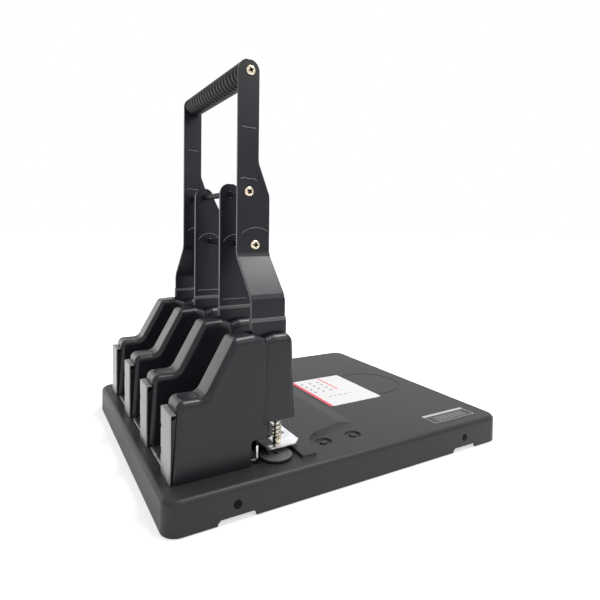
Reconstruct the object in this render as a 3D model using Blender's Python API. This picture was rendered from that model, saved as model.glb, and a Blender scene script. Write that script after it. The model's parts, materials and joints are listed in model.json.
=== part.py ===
"""Four-hole desk punch with one lever frame. Metres, +Z up.

X runs along the row of heads, Y from the backs of the heads to the front of the paper table.
The origin is on the ground under the middle of the base.
"""

import math

import bmesh
import bpy
import numpy as np
from mathutils import Vector

# Base housing
BASE_WIDTH = 0.319
BASE_DEPTH = 0.379
BASE_TOP = 0.0293
BASE_CORNER = 0.014
BASE_EDGE = 0.004
BASE_WALL = 0.0025
SKIRT_LIFT = 0.0008
SEAT_GAP = 0.0003
OVERLAP = 0.001
MERGE_DISTANCE = 0.000001
SLIVER_LENGTH = 0.000002
NOTCH_LENGTH = 0.034
NOTCH_TOP = 0.0052
NOTCH_CHAMFER = 0.0025
NOTCH_REAR_Y = -0.130
NOTCH_FRONT_Y = 0.1345

# Paper platform on the base
PLATFORM_RISE = 0.0030
PLATFORM_REAR_Y = -0.060
PLATFORM_REAR_HALF = 0.1445
PLATFORM_EAR_Y = -0.0465
PLATFORM_WAIST_HALF = 0.1085
PLATFORM_WAIST_Y = -0.034
PLATFORM_FRONT_HALF = 0.0965
PLATFORM_LIP_Y = 0.012
PLATFORM_RAMP = 0.018
PLATFORM_SIDE_SLOPE = 0.0012

# Round recesses and the shallow ring on the table
RECESS_INSET = 0.0370
RECESS_YS = (-0.0240, 0.0115)
RECESS_RADIUS = 0.0080
RECESS_DEPTH = 0.0018
RECESS_BOSS_RADIUS = 0.0038
RECESS_BOSS_FLAT = 0.0016
RING_Y = 0.126
RING_RADIUS = 0.0410
RING_GROOVE = 0.0014
RING_DEPTH = 0.0004

# Labels and the rail
LABEL_WIDTH = 0.098
LABEL_DEPTH = 0.0755
LABEL_Y = 0.0722
LABEL_CORNER = 0.0025
LABEL_SHEET = 0.0003
LABEL_POCKET = 0.0005
PLATE_INSET_X = 0.0265
PLATE_INSET_Y = 0.0525
PLATE_WIDTH = 0.0225
PLATE_DEPTH = 0.0630
RAIL_Y = -0.1745
RAIL_WIDTH = 0.0026
RAIL_OVERHANG = 0.0140
RAIL_THICKNESS = 0.0015

# Tray, feet and skirt screws
TRAY_UNDERSIDE = 0.0035
TRAY_SHEET = 0.0015
TRAY_TAB_WIDTH = 0.018
TRAY_TAB_TOP = 0.0200
FOOT_RADIUS = 0.0090
FOOT_INSET = 0.022
TRAY_SCREW_Z = 0.0144
TRAY_SCREW_RADIUS = 0.0017
TRAY_SCREW_HEAD = 0.0034
TRAY_SCREW_HEAD_HEIGHT = 0.0012
TRAY_SCREW_SINK = 0.0010
TRAY_SCREW_LENGTH = 0.0075

# Row of heads
HEAD_PITCH = 0.080
HEAD_COUNT = 4
HEAD_SEAT = 0.0296
PIN_Y = -0.0745

# Head cover: outline seen from the side, and widths
COVER_FOOT_WIDTH = 0.0312
COVER_TOP_WIDTH = 0.0286
COVER_RISE = 0.1149
COVER_WALL = 0.0016
COVER_EDGE = 0.0034
UNDER_EDGE = 0.0008
COVER_REAR_FOOT_Y = -0.1767
COVER_REAR_TOP_Y = -0.1728
HUMP_FRONT_Y = -0.1490
HUMP_REAR_RISE = 0.0666
HUMP_FRONT_RISE = 0.0662
HUMP_REAR_RADIUS = 0.0065
HUMP_FRONT_RADIUS = 0.0090
SLOPE_TOP_Y = -0.1225
SLOPE_TOP_DROP = 0.0013
SLOPE_RADIUS = 0.0050
CROWN_Y = -0.1040
CROWN_RADIUS = 0.0080
DIP_Y = -0.0925
DIP_DROP = 0.0045
DIP_RADIUS = 0.0040
LOBE_REAR_Y = -0.0840
LOBE_DROP = 0.0017
LOBE_RADIUS = 0.0060
NOSE_TOP_Y = -0.0656
NOSE_TOP_RADIUS = 0.0085
NOSE_FOOT_Y = -0.0634
NOSE_FOOT_RISE = 0.0354
THROAT_REAR_Y = -0.1072
THROAT_STEP_RISE = 0.0219
THROAT_STEP_RADIUS = 0.0025
BLOCK_FRONT_Y = -0.0870
BLOCK_CORNER = 0.0065
BLOCK_WALL = 0.0036
CREASE_Y = -0.0936
CREASE_WIDTH = 0.0036
CREASE_DEPTH = 0.0010
SLOT_WIDTH = 0.0140
SLOT_REAR_Y = -0.1062
SLOT_FLOOR_DROP = 0.0105
SPRING_HOLE_RADIUS = 0.0062
REAR_WINDOW_RISE = 0.0554
SCOOP_RADIUS = 0.0150
SCOOP_DEPTH = 0.0011
SCOOP_Y = -0.1580

# Head frame
WEB_WIDTH = 0.0272
WEB_REAR_Y = -0.1789
WEB_RISE = 0.0572
WEB_LIP = 0.0046
WEB_HOLE_RADIUS = 0.0009
WEB_NOTCH = 0.0015
WEB_NOTCH_HEIGHT = 0.0040
WEB_NOTCH_RISES = (0.0154, 0.0384)
FRAME_WIDTH = 0.0240
FRAME_SHEET = 0.0016
FRAME_CLEARANCE = 0.0040
FRAME_FRONT_Y = -0.0676
FRAME_THROAT_Y = -0.1095
FRAME_NOSE_CLEARANCE = 0.0032
FRAME_TOP_DROP = 0.0155
FRAME_SHOULDER_DROP = 0.0098
FRAME_RADIUS = 0.0050
GUIDE_REAR_Y = -0.0900

# Stripper plate and the bushes on it
STRIPPER_LIFT = 0.0091
STRIPPER_SHEET = 0.0015
STRIPPER_OVERHANG = 0.0095
STRIPPER_REACH = 0.0215
STRIPPER_CORNER = 0.0065
STOP_MARGIN = 0.0120
STOP_NOTCH_GAP = 0.0006
TONGUE_RISE = 0.0114
TONGUE_HALF_WIDTH = 0.0132
LEG_Y = -0.1000
LEG_SHEET = 0.0018
LEG_TAIL = 0.0170
BUSH_HEIGHT = 0.0054
BUSH_FOOT_RADIUS = 0.0035
BUSH_TOP_RADIUS = 0.0041
BUSH_CHAMFER_SHARE = 0.35
PIN_CLEARANCE = 0.0003

# Punch pin, spring and disc
PIN_RADIUS = 0.0028
PIN_BORE = 0.0020
PIN_BORE_DEPTH = 0.0420
PIN_TIP_INSET = 0.0004
PIN_HEAD_RADIUS = 0.0050
PIN_HEAD_HEIGHT = 0.0030
PIN_COLLAR_DROP = 0.0277
PIN_COLLAR_RADIUS = 0.0046
PIN_COLLAR_HEIGHT = 0.0014
PIN_CHAMFER = 0.0005
WINDOW_HEIGHT = 0.0070
WINDOW_WIDTH = 0.0030
BITE_GAP = 0.0003
UPPER_GUIDE_DROP = 0.0202
WIRE_RADIUS = 0.0006
SPRING_RADIUS = 0.0038
SPRING_PITCH = 0.0040
SPRING_END_PITCH = 0.0018
SPRING_END_TURNS = 1
DISC_RADIUS = 0.0152
DISC_THICKNESS = 0.0030
DISC_CHAMFER = 0.0004
DISC_OFFSET_X = 0.0085
DISC_OFFSET_Y = -0.0053
DISC_HOLE_RADIUS = 0.0019
DISC_BOSS_RADIUS = 0.0045
DISC_BOSS_HEIGHT = 0.0018
DISC_MARK_AT = (-0.0020, -0.0105)
DISC_MARK_RADIUS = 0.0030
DISC_MARK_WIDTH = 0.0008
DISC_MARK_DEPTH = 0.0004

# Lever: pivot, arms, feet, grip, rods and screws
PIVOT_DROP = 0.0268
PIVOT_RADIUS = 0.0030
HUB_RADIUS = 0.0060
CAM_START_DROP = 0.0075
CAM_GAP = 0.0003
FOOT_THICKNESS = 0.0064
FOOT_SLOT_RISE = 0.0113
FOOT_CHEEK_RISE = 0.0388
FOOT_CHEEK_CHAMFER = 0.0030
FOOT_REAR_RISE = 0.0163
FOOT_HEEL = 0.0090
ARM_SHEET = 0.0030
ARM_REAR_Y = -0.1022
ARM_WIDE = 0.0342
ARM_NARROW = 0.0220
OUTER_ARM_X = 0.0853
JOG_TOP_RISE = 0.0943
JOG_FOOT_RISE = 0.0563
JOG_BEND = 0.0030
OUTER_FLARE_RISES = (0.1483, 0.1873)
INNER_FLARE_RISES = (0.1293, 0.1583)
GRIP_RISE = 0.2708
GRIP_Y = -0.0900
UPPER_TIE_RISE = 0.1553
UPPER_TIE_Y = -0.0905
LOWER_TIE_RISE = 0.1038
LOWER_TIE_Y = -0.0836
GRIP_RADIUS = 0.0120
GRIP_RIB = 0.0011
GRIP_END_LENGTH = 0.0040
GRIP_ROD_RADIUS = 0.0045
TIE_RADIUS = 0.0031
SCREW_HEAD_RADIUS = 0.0049
SCREW_HEAD_HEIGHT = 0.0023
SCREW_RIM = 0.0008
SCREW_CROSS_LENGTH = 0.0052
SCREW_CROSS_WIDTH = 0.0011
SCREW_CROSS_DEPTH = 0.0012
SCREW_WAY_RADIUS = 0.0024
SCREW_SHANK_RADIUS = 0.0020
SCREW_SHANK_LENGTH = 0.0130
TAPPED_DEPTH = 0.0140

# Angles, counts and shares
LEVER_SWING = math.radians(60.0)
CAM_RUN_ON = math.radians(4.0)
SMOOTH_ANGLE = math.radians(32.0)
GRIP_RIBS = 19
ROUND_SIDES = 14
DISC_SIDES = 28
SMALL_SIDES = 10
ARC_STEPS = 2
COVER_ARC_STEPS = 3
HIDDEN_ARC_STEPS = 1
BASE_ARC_STEPS = 4
TOP_ARC_STEPS = 5
CAM_POINTS = 9
CURL_POINTS = 8
EDGE_SEGMENTS = 2
FLARE_SHARES = (0.0, 0.12, 0.5, 0.88, 1.0)
DOME_SHARES = ((1.0, 0.35), (0.86, 0.75), (0.55, 0.96))
RIB_SHARES = ((0.0, 0.0), (0.5, 1.0))
RING_GROOVE_TURN = (math.radians(-18.0), math.radians(198.0))
DISC_MARK_TURN = (math.radians(70.0), math.radians(290.0))

# Worked-out places
PLATFORM_TOP = BASE_TOP + PLATFORM_RISE
PLATE_X = BASE_WIDTH / 2 - PLATE_INSET_X
PLATE_Y = BASE_DEPTH / 2 - PLATE_INSET_Y
RECESS_X = BASE_WIDTH / 2 - RECESS_INSET
HEAD_XS = [HEAD_PITCH * (i - (HEAD_COUNT - 1) / 2) for i in range(HEAD_COUNT)]
HEAD_NAMES = [str(i + 1) for i in range(HEAD_COUNT)]
COVER_FOOT_Z = HEAD_SEAT
COVER_TOP_Z = HEAD_SEAT + COVER_RISE
SLOPE_TOP_Z = COVER_TOP_Z - SLOPE_TOP_DROP
DIP_Z = COVER_TOP_Z - DIP_DROP
LOBE_TOP_Z = COVER_TOP_Z - LOBE_DROP
NOSE_FOOT_Z = HEAD_SEAT + NOSE_FOOT_RISE
THROAT_STEP_Z = HEAD_SEAT + THROAT_STEP_RISE
HUMP_REAR_Z = HEAD_SEAT + HUMP_REAR_RISE
HUMP_FRONT_Z = HEAD_SEAT + HUMP_FRONT_RISE
REAR_WINDOW_TOP = HEAD_SEAT + REAR_WINDOW_RISE
WEB_TOP = HEAD_SEAT + WEB_RISE
FRAME_NOSE_Z = NOSE_FOOT_Z + FRAME_NOSE_CLEARANCE
FRAME_TOP_Z = COVER_TOP_Z - FRAME_TOP_DROP
FRAME_SHOULDER_Z = HUMP_FRONT_Z - FRAME_SHOULDER_DROP
DISC_SEAT = BASE_TOP + SEAT_GAP
DISC_TOP = DISC_SEAT + DISC_THICKNESS
STRIPPER_TOP = BASE_TOP + STRIPPER_LIFT
STRIPPER_UNDERSIDE = STRIPPER_TOP - STRIPPER_SHEET
STRIPPER_FRONT_Y = PIN_Y + STRIPPER_REACH
STOP_Y = PIN_Y - STOP_MARGIN
STRIPPER_REAR_Y = STOP_Y - STRIPPER_SHEET
STRIPPER_HALF = HEAD_XS[-1] + STRIPPER_OVERHANG
LEG_TOP = STRIPPER_TOP + TONGUE_RISE
TAIL_FLOOR = HEAD_SEAT + FRAME_SHEET + SEAT_GAP + LEG_SHEET
BUSH_SEAT = STRIPPER_TOP + SEAT_GAP
BUSH_TOP = BUSH_SEAT + BUSH_HEIGHT
PIVOT_Z = COVER_TOP_Z - PIVOT_DROP
PIN_TIP_Z = STRIPPER_UNDERSIDE + PIN_TIP_INSET
PIN_STROKE = PIN_TIP_Z - DISC_TOP - BITE_GAP
CAM_BASE = PIN_STROKE / LEVER_SWING
PIVOT_Y = PIN_Y - CAM_BASE
PIN_HEAD_TOP = PIVOT_Z - CAM_START_DROP - CAM_GAP
PIN_COLLAR_Z = PIVOT_Z - PIN_COLLAR_DROP
UPPER_GUIDE_Z = PIVOT_Z - UPPER_GUIDE_DROP
GRIP_Z = PIVOT_Z + GRIP_RISE
UPPER_TIE_Z = PIVOT_Z + UPPER_TIE_RISE
LOWER_TIE_Z = PIVOT_Z + LOWER_TIE_RISE
JOG_TOP_Z = PIVOT_Z + JOG_TOP_RISE
JOG_FOOT_Z = PIVOT_Z + JOG_FOOT_RISE
FOOT_SLOT_FLOOR = PIVOT_Z + FOOT_SLOT_RISE
FOOT_CHEEK_TOP = PIVOT_Z + FOOT_CHEEK_RISE
FOOT_REAR_LOW_Z = PIVOT_Z + FOOT_REAR_RISE
RAIL_LENGTH = HEAD_XS[-1] - HEAD_XS[0] + 2 * RAIL_OVERHANG

FINISHES = {
    # colour, roughness, metallic
    "base plastic": ((0.060, 0.060, 0.064), 0.45, 0.0),
    "cover plastic": ((0.030, 0.030, 0.034), 0.40, 0.0),
    "lever enamel": ((0.025, 0.025, 0.028), 0.38, 0.2),
    "zinc": ((0.72, 0.73, 0.75), 0.32, 1.0),
    "yellow zinc": ((0.78, 0.70, 0.50), 0.30, 1.0),
    "tool steel": ((0.55, 0.55, 0.56), 0.25, 1.0),
    "grip rubber": ((0.022, 0.022, 0.024), 0.62, 0.0),
    "disc plastic": ((0.060, 0.060, 0.062), 0.55, 0.0),
    "foot rubber": ((0.020, 0.020, 0.020), 0.85, 0.0),
    "white label": ((0.88, 0.88, 0.86), 0.45, 0.0),
    "dark label": ((0.050, 0.050, 0.052), 0.50, 0.0),
}


def clear_scene():
    for obj in list(bpy.data.objects):
        bpy.data.objects.remove(obj, do_unlink=True)


def finish(name):
    """The Principled material of that name, made the first time it is asked for."""
    made = bpy.data.materials.get(name)
    if made:
        return made
    colour, roughness, metallic = FINISHES[name]
    made = bpy.data.materials.new(name)
    made.use_nodes = True
    made.diffuse_color = (*colour, 1.0)
    shader = made.node_tree.nodes["Principled BSDF"]
    shader.inputs["Base Color"].default_value = (*colour, 1.0)
    shader.inputs["Roughness"].default_value = roughness
    shader.inputs["Metallic"].default_value = metallic
    return made


def mesh_of(name, points, faces):
    """A mesh whose double points are merged and whose faces all look outwards."""
    mesh = bpy.data.meshes.new(name)
    mesh.from_pydata([tuple(map(float, p)) for p in points], [], [tuple(map(int, f)) for f in faces])
    work = bmesh.new()
    work.from_mesh(mesh)
    bmesh.ops.remove_doubles(work, verts=work.verts, dist=MERGE_DISTANCE)
    bmesh.ops.recalc_face_normals(work, faces=work.faces)
    work.to_mesh(mesh)
    work.free()
    return mesh


def helper(name, solid):
    """A hidden solid for a Boolean."""
    obj = bpy.data.objects.new(name, mesh_of(name, *solid))
    obj.hide_render = True
    obj.display_type = "WIRE"
    bpy.context.scene.collection.objects.link(obj)
    return obj


def shaped(name, solid, joined=(), cut=(), edge=None):
    """The mesh of a solid after an edge rounding, joins and cuts, with the helpers cleared away."""
    body = helper(name, solid)
    if edge:
        mark_edges(body.data, edge["weights"])
        rounding = body.modifiers.new("edge", "BEVEL")
        rounding.limit_method = "WEIGHT"
        rounding.width = edge["width"]
        rounding.segments = EDGE_SEGMENTS
        rounding.use_clamp_overlap = False
    others = []
    for operation, solids in (("UNION", joined), ("DIFFERENCE", cut)):
        for i, other in enumerate(solids):
            tool = helper(f"{name}_{operation.lower()}_{i}", other)
            step = body.modifiers.new(tool.name, "BOOLEAN")
            step.operation = operation
            step.solver = "EXACT"
            step.object = tool
            others.append(tool)
    graph = bpy.context.evaluated_depsgraph_get()
    mesh = bpy.data.meshes.new_from_object(body.evaluated_get(graph))
    mesh.name = name
    for obj in [body, *others]:
        bpy.data.objects.remove(obj, do_unlink=True)
    work = bmesh.new()
    work.from_mesh(mesh)
    bmesh.ops.dissolve_degenerate(work, edges=work.edges, dist=SLIVER_LENGTH)
    work.to_mesh(mesh)
    work.free()
    return mesh


def mark_edges(mesh, weight_of):
    """Writes each edge's bevel weight, from a function of its two end points and its faces' normals."""
    work = bmesh.new()
    work.from_mesh(mesh)
    layer = work.edges.layers.float.new("bevel_weight_edge")
    for line in work.edges:
        line[layer] = weight_of(line)
    work.to_mesh(mesh)
    work.free()


def place(name, mesh, look, at=(0.0, 0.0, 0.0), parent=None):
    """The node's object: its mesh, its finish, and its place in the world or on its parent."""
    obj = bpy.data.objects.new(name, mesh)
    mesh.materials.clear()
    mesh.materials.append(finish(look))
    mesh.shade_smooth()
    mesh.set_sharp_from_angle(angle=SMOOTH_ANGLE)
    obj.location = at
    obj.parent = parent
    bpy.context.scene.collection.objects.link(obj)
    return obj


# Solids as (points, faces)


def loft(rings, closed_caps=True):
    """Rings of equal length joined in order, with the first and last filled."""
    rings = np.asarray(rings, float)
    count, around = rings.shape[:2]
    points = rings.reshape(-1, 3)
    faces = []
    for k in range(count - 1):
        for j in range(around):
            n = (j + 1) % around
            faces.append((k * around + j, k * around + n, (k + 1) * around + n, (k + 1) * around + j))
    if closed_caps:
        faces.append(tuple(range(around))[::-1])
        faces.append(tuple(range((count - 1) * around, count * around)))
    return points, faces


def box(low, high):
    """A box between two corners."""
    (x0, y0, z0), (x1, y1, z1) = low, high
    lower = [(x0, y0, z0), (x1, y0, z0), (x1, y1, z0), (x0, y1, z0)]
    return loft([lower, [(x, y, z1) for x, y, _ in lower]])


def circle(radius, sides, centre=(0.0, 0.0)):
    turn = np.arange(sides) * 2 * math.pi / sides
    return np.stack([centre[0] + radius * np.cos(turn), centre[1] + radius * np.sin(turn)], 1)


AXES = {"x": (1, 2, 0), "y": (2, 0, 1), "z": (0, 1, 2)}


def along(axis, flat, height):
    """Flat points laid across an axis at a height on it."""
    out = np.zeros((len(flat), 3))
    first, second, third = AXES[axis]
    out[:, first], out[:, second], out[:, third] = flat[:, 0], flat[:, 1], height
    return out


def prism(axis, outline, start, end):
    """An outline drawn along an axis."""
    outline = np.asarray(outline, float)
    return loft([along(axis, outline, start), along(axis, outline, end)])


def turned(axis, profile, sides, centre=(0.0, 0.0)):
    """A profile of (height, radius) pairs turned round an axis."""
    return loft([along(axis, circle(radius, sides, centre), height) for height, radius in profile])


def rod(axis, radius, start, end, sides, centre=(0.0, 0.0)):
    return turned(axis, [(start, radius), (end, radius)], sides, centre)


def rounded(corners, steps=ARC_STEPS):
    """A closed outline from (a, b, radius) corners, each rounded by an arc that touches both its sides."""
    out = []
    count = len(corners)
    for i, (a, b, radius) in enumerate(corners):
        here = Vector((a, b))
        if not radius:
            out.append(here)
            continue
        to_last = (Vector(corners[i - 1][:2]) - here).normalized()
        to_next = (Vector(corners[(i + 1) % count][:2]) - here).normalized()
        half = to_last.angle(to_next) / 2
        reach = radius / math.tan(half)
        centre = here + (to_last + to_next).normalized() * (radius / math.sin(half))
        start = here + to_last * reach - centre
        sweep = (math.pi - 2 * half) * (1 if to_next.cross(to_last) > 0 else -1)
        first = math.atan2(start.y, start.x)
        for k in range(steps + 1):
            turn = first + sweep * k / steps
            out.append(centre + Vector((math.cos(turn), math.sin(turn))) * radius)
    return np.array([tuple(p) for p in out])


def inset(corners, depth):
    """The same corners, which run anticlockwise, moved inwards by a depth, with their radii following."""
    out = []
    count = len(corners)
    for i, (a, b, radius) in enumerate(corners):
        here = np.array([a, b])
        last = here - np.array(corners[i - 1][:2])
        after = np.array(corners[(i + 1) % count][:2]) - here
        last, after = last / np.linalg.norm(last), after / np.linalg.norm(after)
        inward = [np.array([-d[1], d[0]]) for d in (last, after)]
        bisector = inward[0] + inward[1]
        shift = bisector * depth / (1 + float(inward[0] @ inward[1]))
        convex = last[0] * after[1] - last[1] * after[0] > 0
        follow = radius - depth if convex else radius + depth
        out.append((*(here + shift), max(follow, 0.0) if radius else 0.0))
    return out


def rectangle(width, depth, corner, centre=(0.0, 0.0), steps=ARC_STEPS):
    x, y = centre
    half, deep = width / 2, depth / 2
    return rounded([
        (x - half, y - deep, corner), (x + half, y - deep, corner),
        (x + half, y + deep, corner), (x - half, y + deep, corner),
    ], steps)


# Base


def base_shell():
    """The tray-shaped housing, open below, with its upper edge rounded."""
    def ring(shrink, height):
        outline = rectangle(BASE_WIDTH - 2 * shrink, BASE_DEPTH - 2 * shrink, BASE_CORNER - shrink,
                            steps=BASE_ARC_STEPS)
        return along("z", outline, height)

    rings = [ring(BASE_WALL, BASE_TOP - BASE_WALL), ring(BASE_WALL, SKIRT_LIFT), ring(0.0, SKIRT_LIFT)]
    for k in range(EDGE_SEGMENTS + 1):
        turn = k / EDGE_SEGMENTS * math.pi / 2
        shrink = BASE_EDGE * (1 - math.cos(turn))
        rings.append(ring(shrink, BASE_TOP - BASE_EDGE * (1 - math.sin(turn))))
    return loft(rings)


def platform():
    """The raised paper platform, with ears beside the discs and a ramp to the front."""
    def outline(spread, ramp, height):
        half = [
            (PLATFORM_REAR_HALF + spread, PLATFORM_REAR_Y - spread, 0.0),
            (PLATFORM_REAR_HALF + spread, PLATFORM_EAR_Y + spread, 0.0),
            (PLATFORM_WAIST_HALF + spread, PLATFORM_WAIST_Y, abs(PLATFORM_EAR_Y - PLATFORM_WAIST_Y) * 2),
            (PLATFORM_FRONT_HALF + spread, PLATFORM_LIP_Y + ramp, 0.0),
        ]
        mirrored = [(-x, y, radius) for x, y, radius in reversed(half)]
        return along("z", rounded(half + mirrored), height)

    return loft([
        outline(PLATFORM_SIDE_SLOPE, PLATFORM_RAMP, BASE_TOP - OVERLAP / 2),
        outline(PLATFORM_SIDE_SLOPE, PLATFORM_RAMP, BASE_TOP),
        outline(0.0, 0.0, PLATFORM_TOP),
    ])


def skirt_notch(side, y):
    """A notch in the skirt's lower edge with chamfered ends."""
    outline = rounded([
        (y - NOTCH_LENGTH / 2, -OVERLAP, 0.0), (y + NOTCH_LENGTH / 2, -OVERLAP, 0.0),
        (y + NOTCH_LENGTH / 2, NOTCH_TOP - NOTCH_CHAMFER, 0.0),
        (y + NOTCH_LENGTH / 2 - NOTCH_CHAMFER, NOTCH_TOP, 0.0),
        (y - NOTCH_LENGTH / 2 + NOTCH_CHAMFER, NOTCH_TOP, 0.0),
        (y - NOTCH_LENGTH / 2, NOTCH_TOP - NOTCH_CHAMFER, 0.0),
    ])
    ends = sorted((side * (BASE_WIDTH / 2 + OVERLAP), side * (BASE_WIDTH / 2 - BASE_WALL - OVERLAP / 2)))
    return prism("x", outline, *ends)


def skirt_places():
    """Side, row name and Y of the four skirt screws."""
    for side, side_name in ((-1, "left"), (1, "right")):
        for y, row_name in ((NOTCH_REAR_Y, "rear"), (NOTCH_FRONT_Y, "front")):
            yield side, f"{row_name}_{side_name}", y


def screw_hole(side, y, depth):
    ends = sorted((side * (BASE_WIDTH / 2 + OVERLAP), side * (BASE_WIDTH / 2 - depth)))
    return rod("x", TRAY_SCREW_RADIUS + SEAT_GAP, *ends, SMALL_SIDES, (y, TRAY_SCREW_Z))


def screw_sink(side, y):
    ends = sorted((side * (BASE_WIDTH / 2 + OVERLAP), side * (BASE_WIDTH / 2 - TRAY_SCREW_SINK)))
    return rod("x", TRAY_SCREW_HEAD + SEAT_GAP, *ends, SMALL_SIDES, (y, TRAY_SCREW_Z))


def half_round_boss(y):
    """The D-shaped boss that stands in a round recess."""
    arc = circle(RECESS_BOSS_RADIUS, ROUND_SIDES, (RECESS_X, y))
    arc[:, 0] = np.maximum(arc[:, 0], RECESS_X - RECESS_BOSS_FLAT)
    return prism("z", arc, BASE_TOP - RECESS_DEPTH - OVERLAP / 2, BASE_TOP - SEAT_GAP)


def ring_groove():
    """Part of a shallow ring on the table, in front of the label."""
    turns = np.linspace(*RING_GROOVE_TURN, ROUND_SIDES)
    arc = np.stack([np.cos(turns), np.sin(turns)], 1)
    outline = np.concatenate([
        arc * (RING_RADIUS + RING_GROOVE), arc[::-1] * RING_RADIUS,
    ]) + np.array([0.0, RING_Y])
    return prism("z", outline, BASE_TOP - RING_DEPTH, BASE_TOP + OVERLAP)


def build_base():
    pocket = BASE_TOP - LABEL_POCKET
    cuts = [
        prism("z", rectangle(LABEL_WIDTH + 2 * SEAT_GAP, LABEL_DEPTH + 2 * SEAT_GAP, LABEL_CORNER,
                             (0.0, LABEL_Y)),
              pocket, BASE_TOP + OVERLAP),
        prism("z", rectangle(PLATE_WIDTH + 2 * SEAT_GAP, PLATE_DEPTH + 2 * SEAT_GAP, LABEL_CORNER,
                             (PLATE_X, PLATE_Y)),
              pocket, BASE_TOP + OVERLAP),
        ring_groove(),
        box((-RAIL_LENGTH / 2 - SEAT_GAP, RAIL_Y - RAIL_WIDTH / 2 - SEAT_GAP,
             BASE_TOP - RAIL_THICKNESS - SEAT_GAP),
            (RAIL_LENGTH / 2 + SEAT_GAP, RAIL_Y + RAIL_WIDTH / 2 + SEAT_GAP, BASE_TOP + OVERLAP)),
    ]
    for y in RECESS_YS:
        cuts.append(rod("z", RECESS_RADIUS, BASE_TOP - RECESS_DEPTH, BASE_TOP + OVERLAP, ROUND_SIDES,
                        (RECESS_X, y)))
    for side, _, y in skirt_places():
        cuts += [skirt_notch(side, y), screw_hole(side, y, BASE_WALL + OVERLAP), screw_sink(side, y)]
    recessed = shaped("base_recessed", base_shell(), joined=[platform()], cut=cuts)
    bosses = [half_round_boss(y) for y in RECESS_YS]
    for x in HEAD_XS:
        centre = (x + DISC_OFFSET_X, PIN_Y + DISC_OFFSET_Y)
        bosses.append(rod("z", DISC_BOSS_RADIUS, BASE_TOP - OVERLAP / 2, DISC_SEAT + DISC_BOSS_HEIGHT,
                          SMALL_SIDES, centre))
    solid = (np.array([v.co for v in recessed.vertices]), [tuple(f.vertices) for f in recessed.polygons])
    place("base_housing", shaped("base_housing", solid, joined=bosses), "base plastic")


def build_labels_and_rail():
    pocket = BASE_TOP - LABEL_POCKET + SEAT_GAP
    label = rectangle(LABEL_WIDTH, LABEL_DEPTH, LABEL_CORNER)
    place("guide_label", shaped("guide_label", prism("z", label, 0.0, LABEL_SHEET)), "white label",
          (0.0, LABEL_Y, pocket))
    plate = rectangle(PLATE_WIDTH, PLATE_DEPTH, LABEL_CORNER)
    place("rating_label", shaped("rating_label", prism("z", plate, 0.0, LABEL_SHEET)), "dark label",
          (PLATE_X, PLATE_Y, pocket))
    strip = box((-RAIL_LENGTH / 2, -RAIL_WIDTH / 2, 0.0), (RAIL_LENGTH / 2, RAIL_WIDTH / 2, RAIL_THICKNESS))
    place("rear_rail", shaped("rear_rail", strip), "zinc", (0.0, RAIL_Y, BASE_TOP - RAIL_THICKNESS))


def build_tray():
    """The closing tray with four upturned tabs, its feet and its screws."""
    inner = BASE_WALL + SEAT_GAP
    outline = rectangle(BASE_WIDTH - 2 * inner, BASE_DEPTH - 2 * inner, BASE_CORNER - inner,
                        steps=BASE_ARC_STEPS)
    tabs, holes = [], []
    for side, _, y in skirt_places():
        xs = sorted((side * (BASE_WIDTH / 2 - inner), side * (BASE_WIDTH / 2 - inner - TRAY_SHEET)))
        tabs.append(box((xs[0], y - TRAY_TAB_WIDTH / 2, TRAY_UNDERSIDE + TRAY_SHEET / 2),
                        (xs[1], y + TRAY_TAB_WIDTH / 2, TRAY_TAB_TOP)))
        holes.append(screw_hole(side, y, TRAY_SCREW_LENGTH))
    sheet = prism("z", outline, TRAY_UNDERSIDE, TRAY_UNDERSIDE + TRAY_SHEET)
    place("bottom_tray", shaped("bottom_tray", sheet, joined=tabs, cut=holes), "zinc")
    pad = shaped("foot", turned("z", [(0.0, FOOT_RADIUS - SEAT_GAP), (SEAT_GAP, FOOT_RADIUS),
                                      (TRAY_UNDERSIDE - SEAT_GAP, FOOT_RADIUS)], ROUND_SIDES))
    for side, name in ((-1, "left"), (1, "right")):
        for end, row_name in ((-1, "rear"), (1, "front")):
            at = (side * (BASE_WIDTH / 2 - FOOT_INSET), end * (BASE_DEPTH / 2 - FOOT_INSET), 0.0)
            place(f"foot_{row_name}_{name}", pad, "foot rubber", at)
    head = [(-TRAY_SCREW_LENGTH, TRAY_SCREW_RADIUS), (-TRAY_SCREW_SINK + SEAT_GAP, TRAY_SCREW_RADIUS),
            (-TRAY_SCREW_SINK + SEAT_GAP, TRAY_SCREW_HEAD), (0.0, TRAY_SCREW_HEAD),
            (TRAY_SCREW_HEAD_HEIGHT - TRAY_SCREW_SINK + SEAT_GAP, TRAY_SCREW_HEAD - 2 * SEAT_GAP)]
    for side, name, y in skirt_places():
        profile = [(side * height, radius) for height, radius in head]
        screw = shaped("tray_screw", turned("x", profile, SMALL_SIDES))
        place(f"tray_screw_{name}", screw, "lever enamel", (side * BASE_WIDTH / 2, y, TRAY_SCREW_Z))


# Heads


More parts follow.
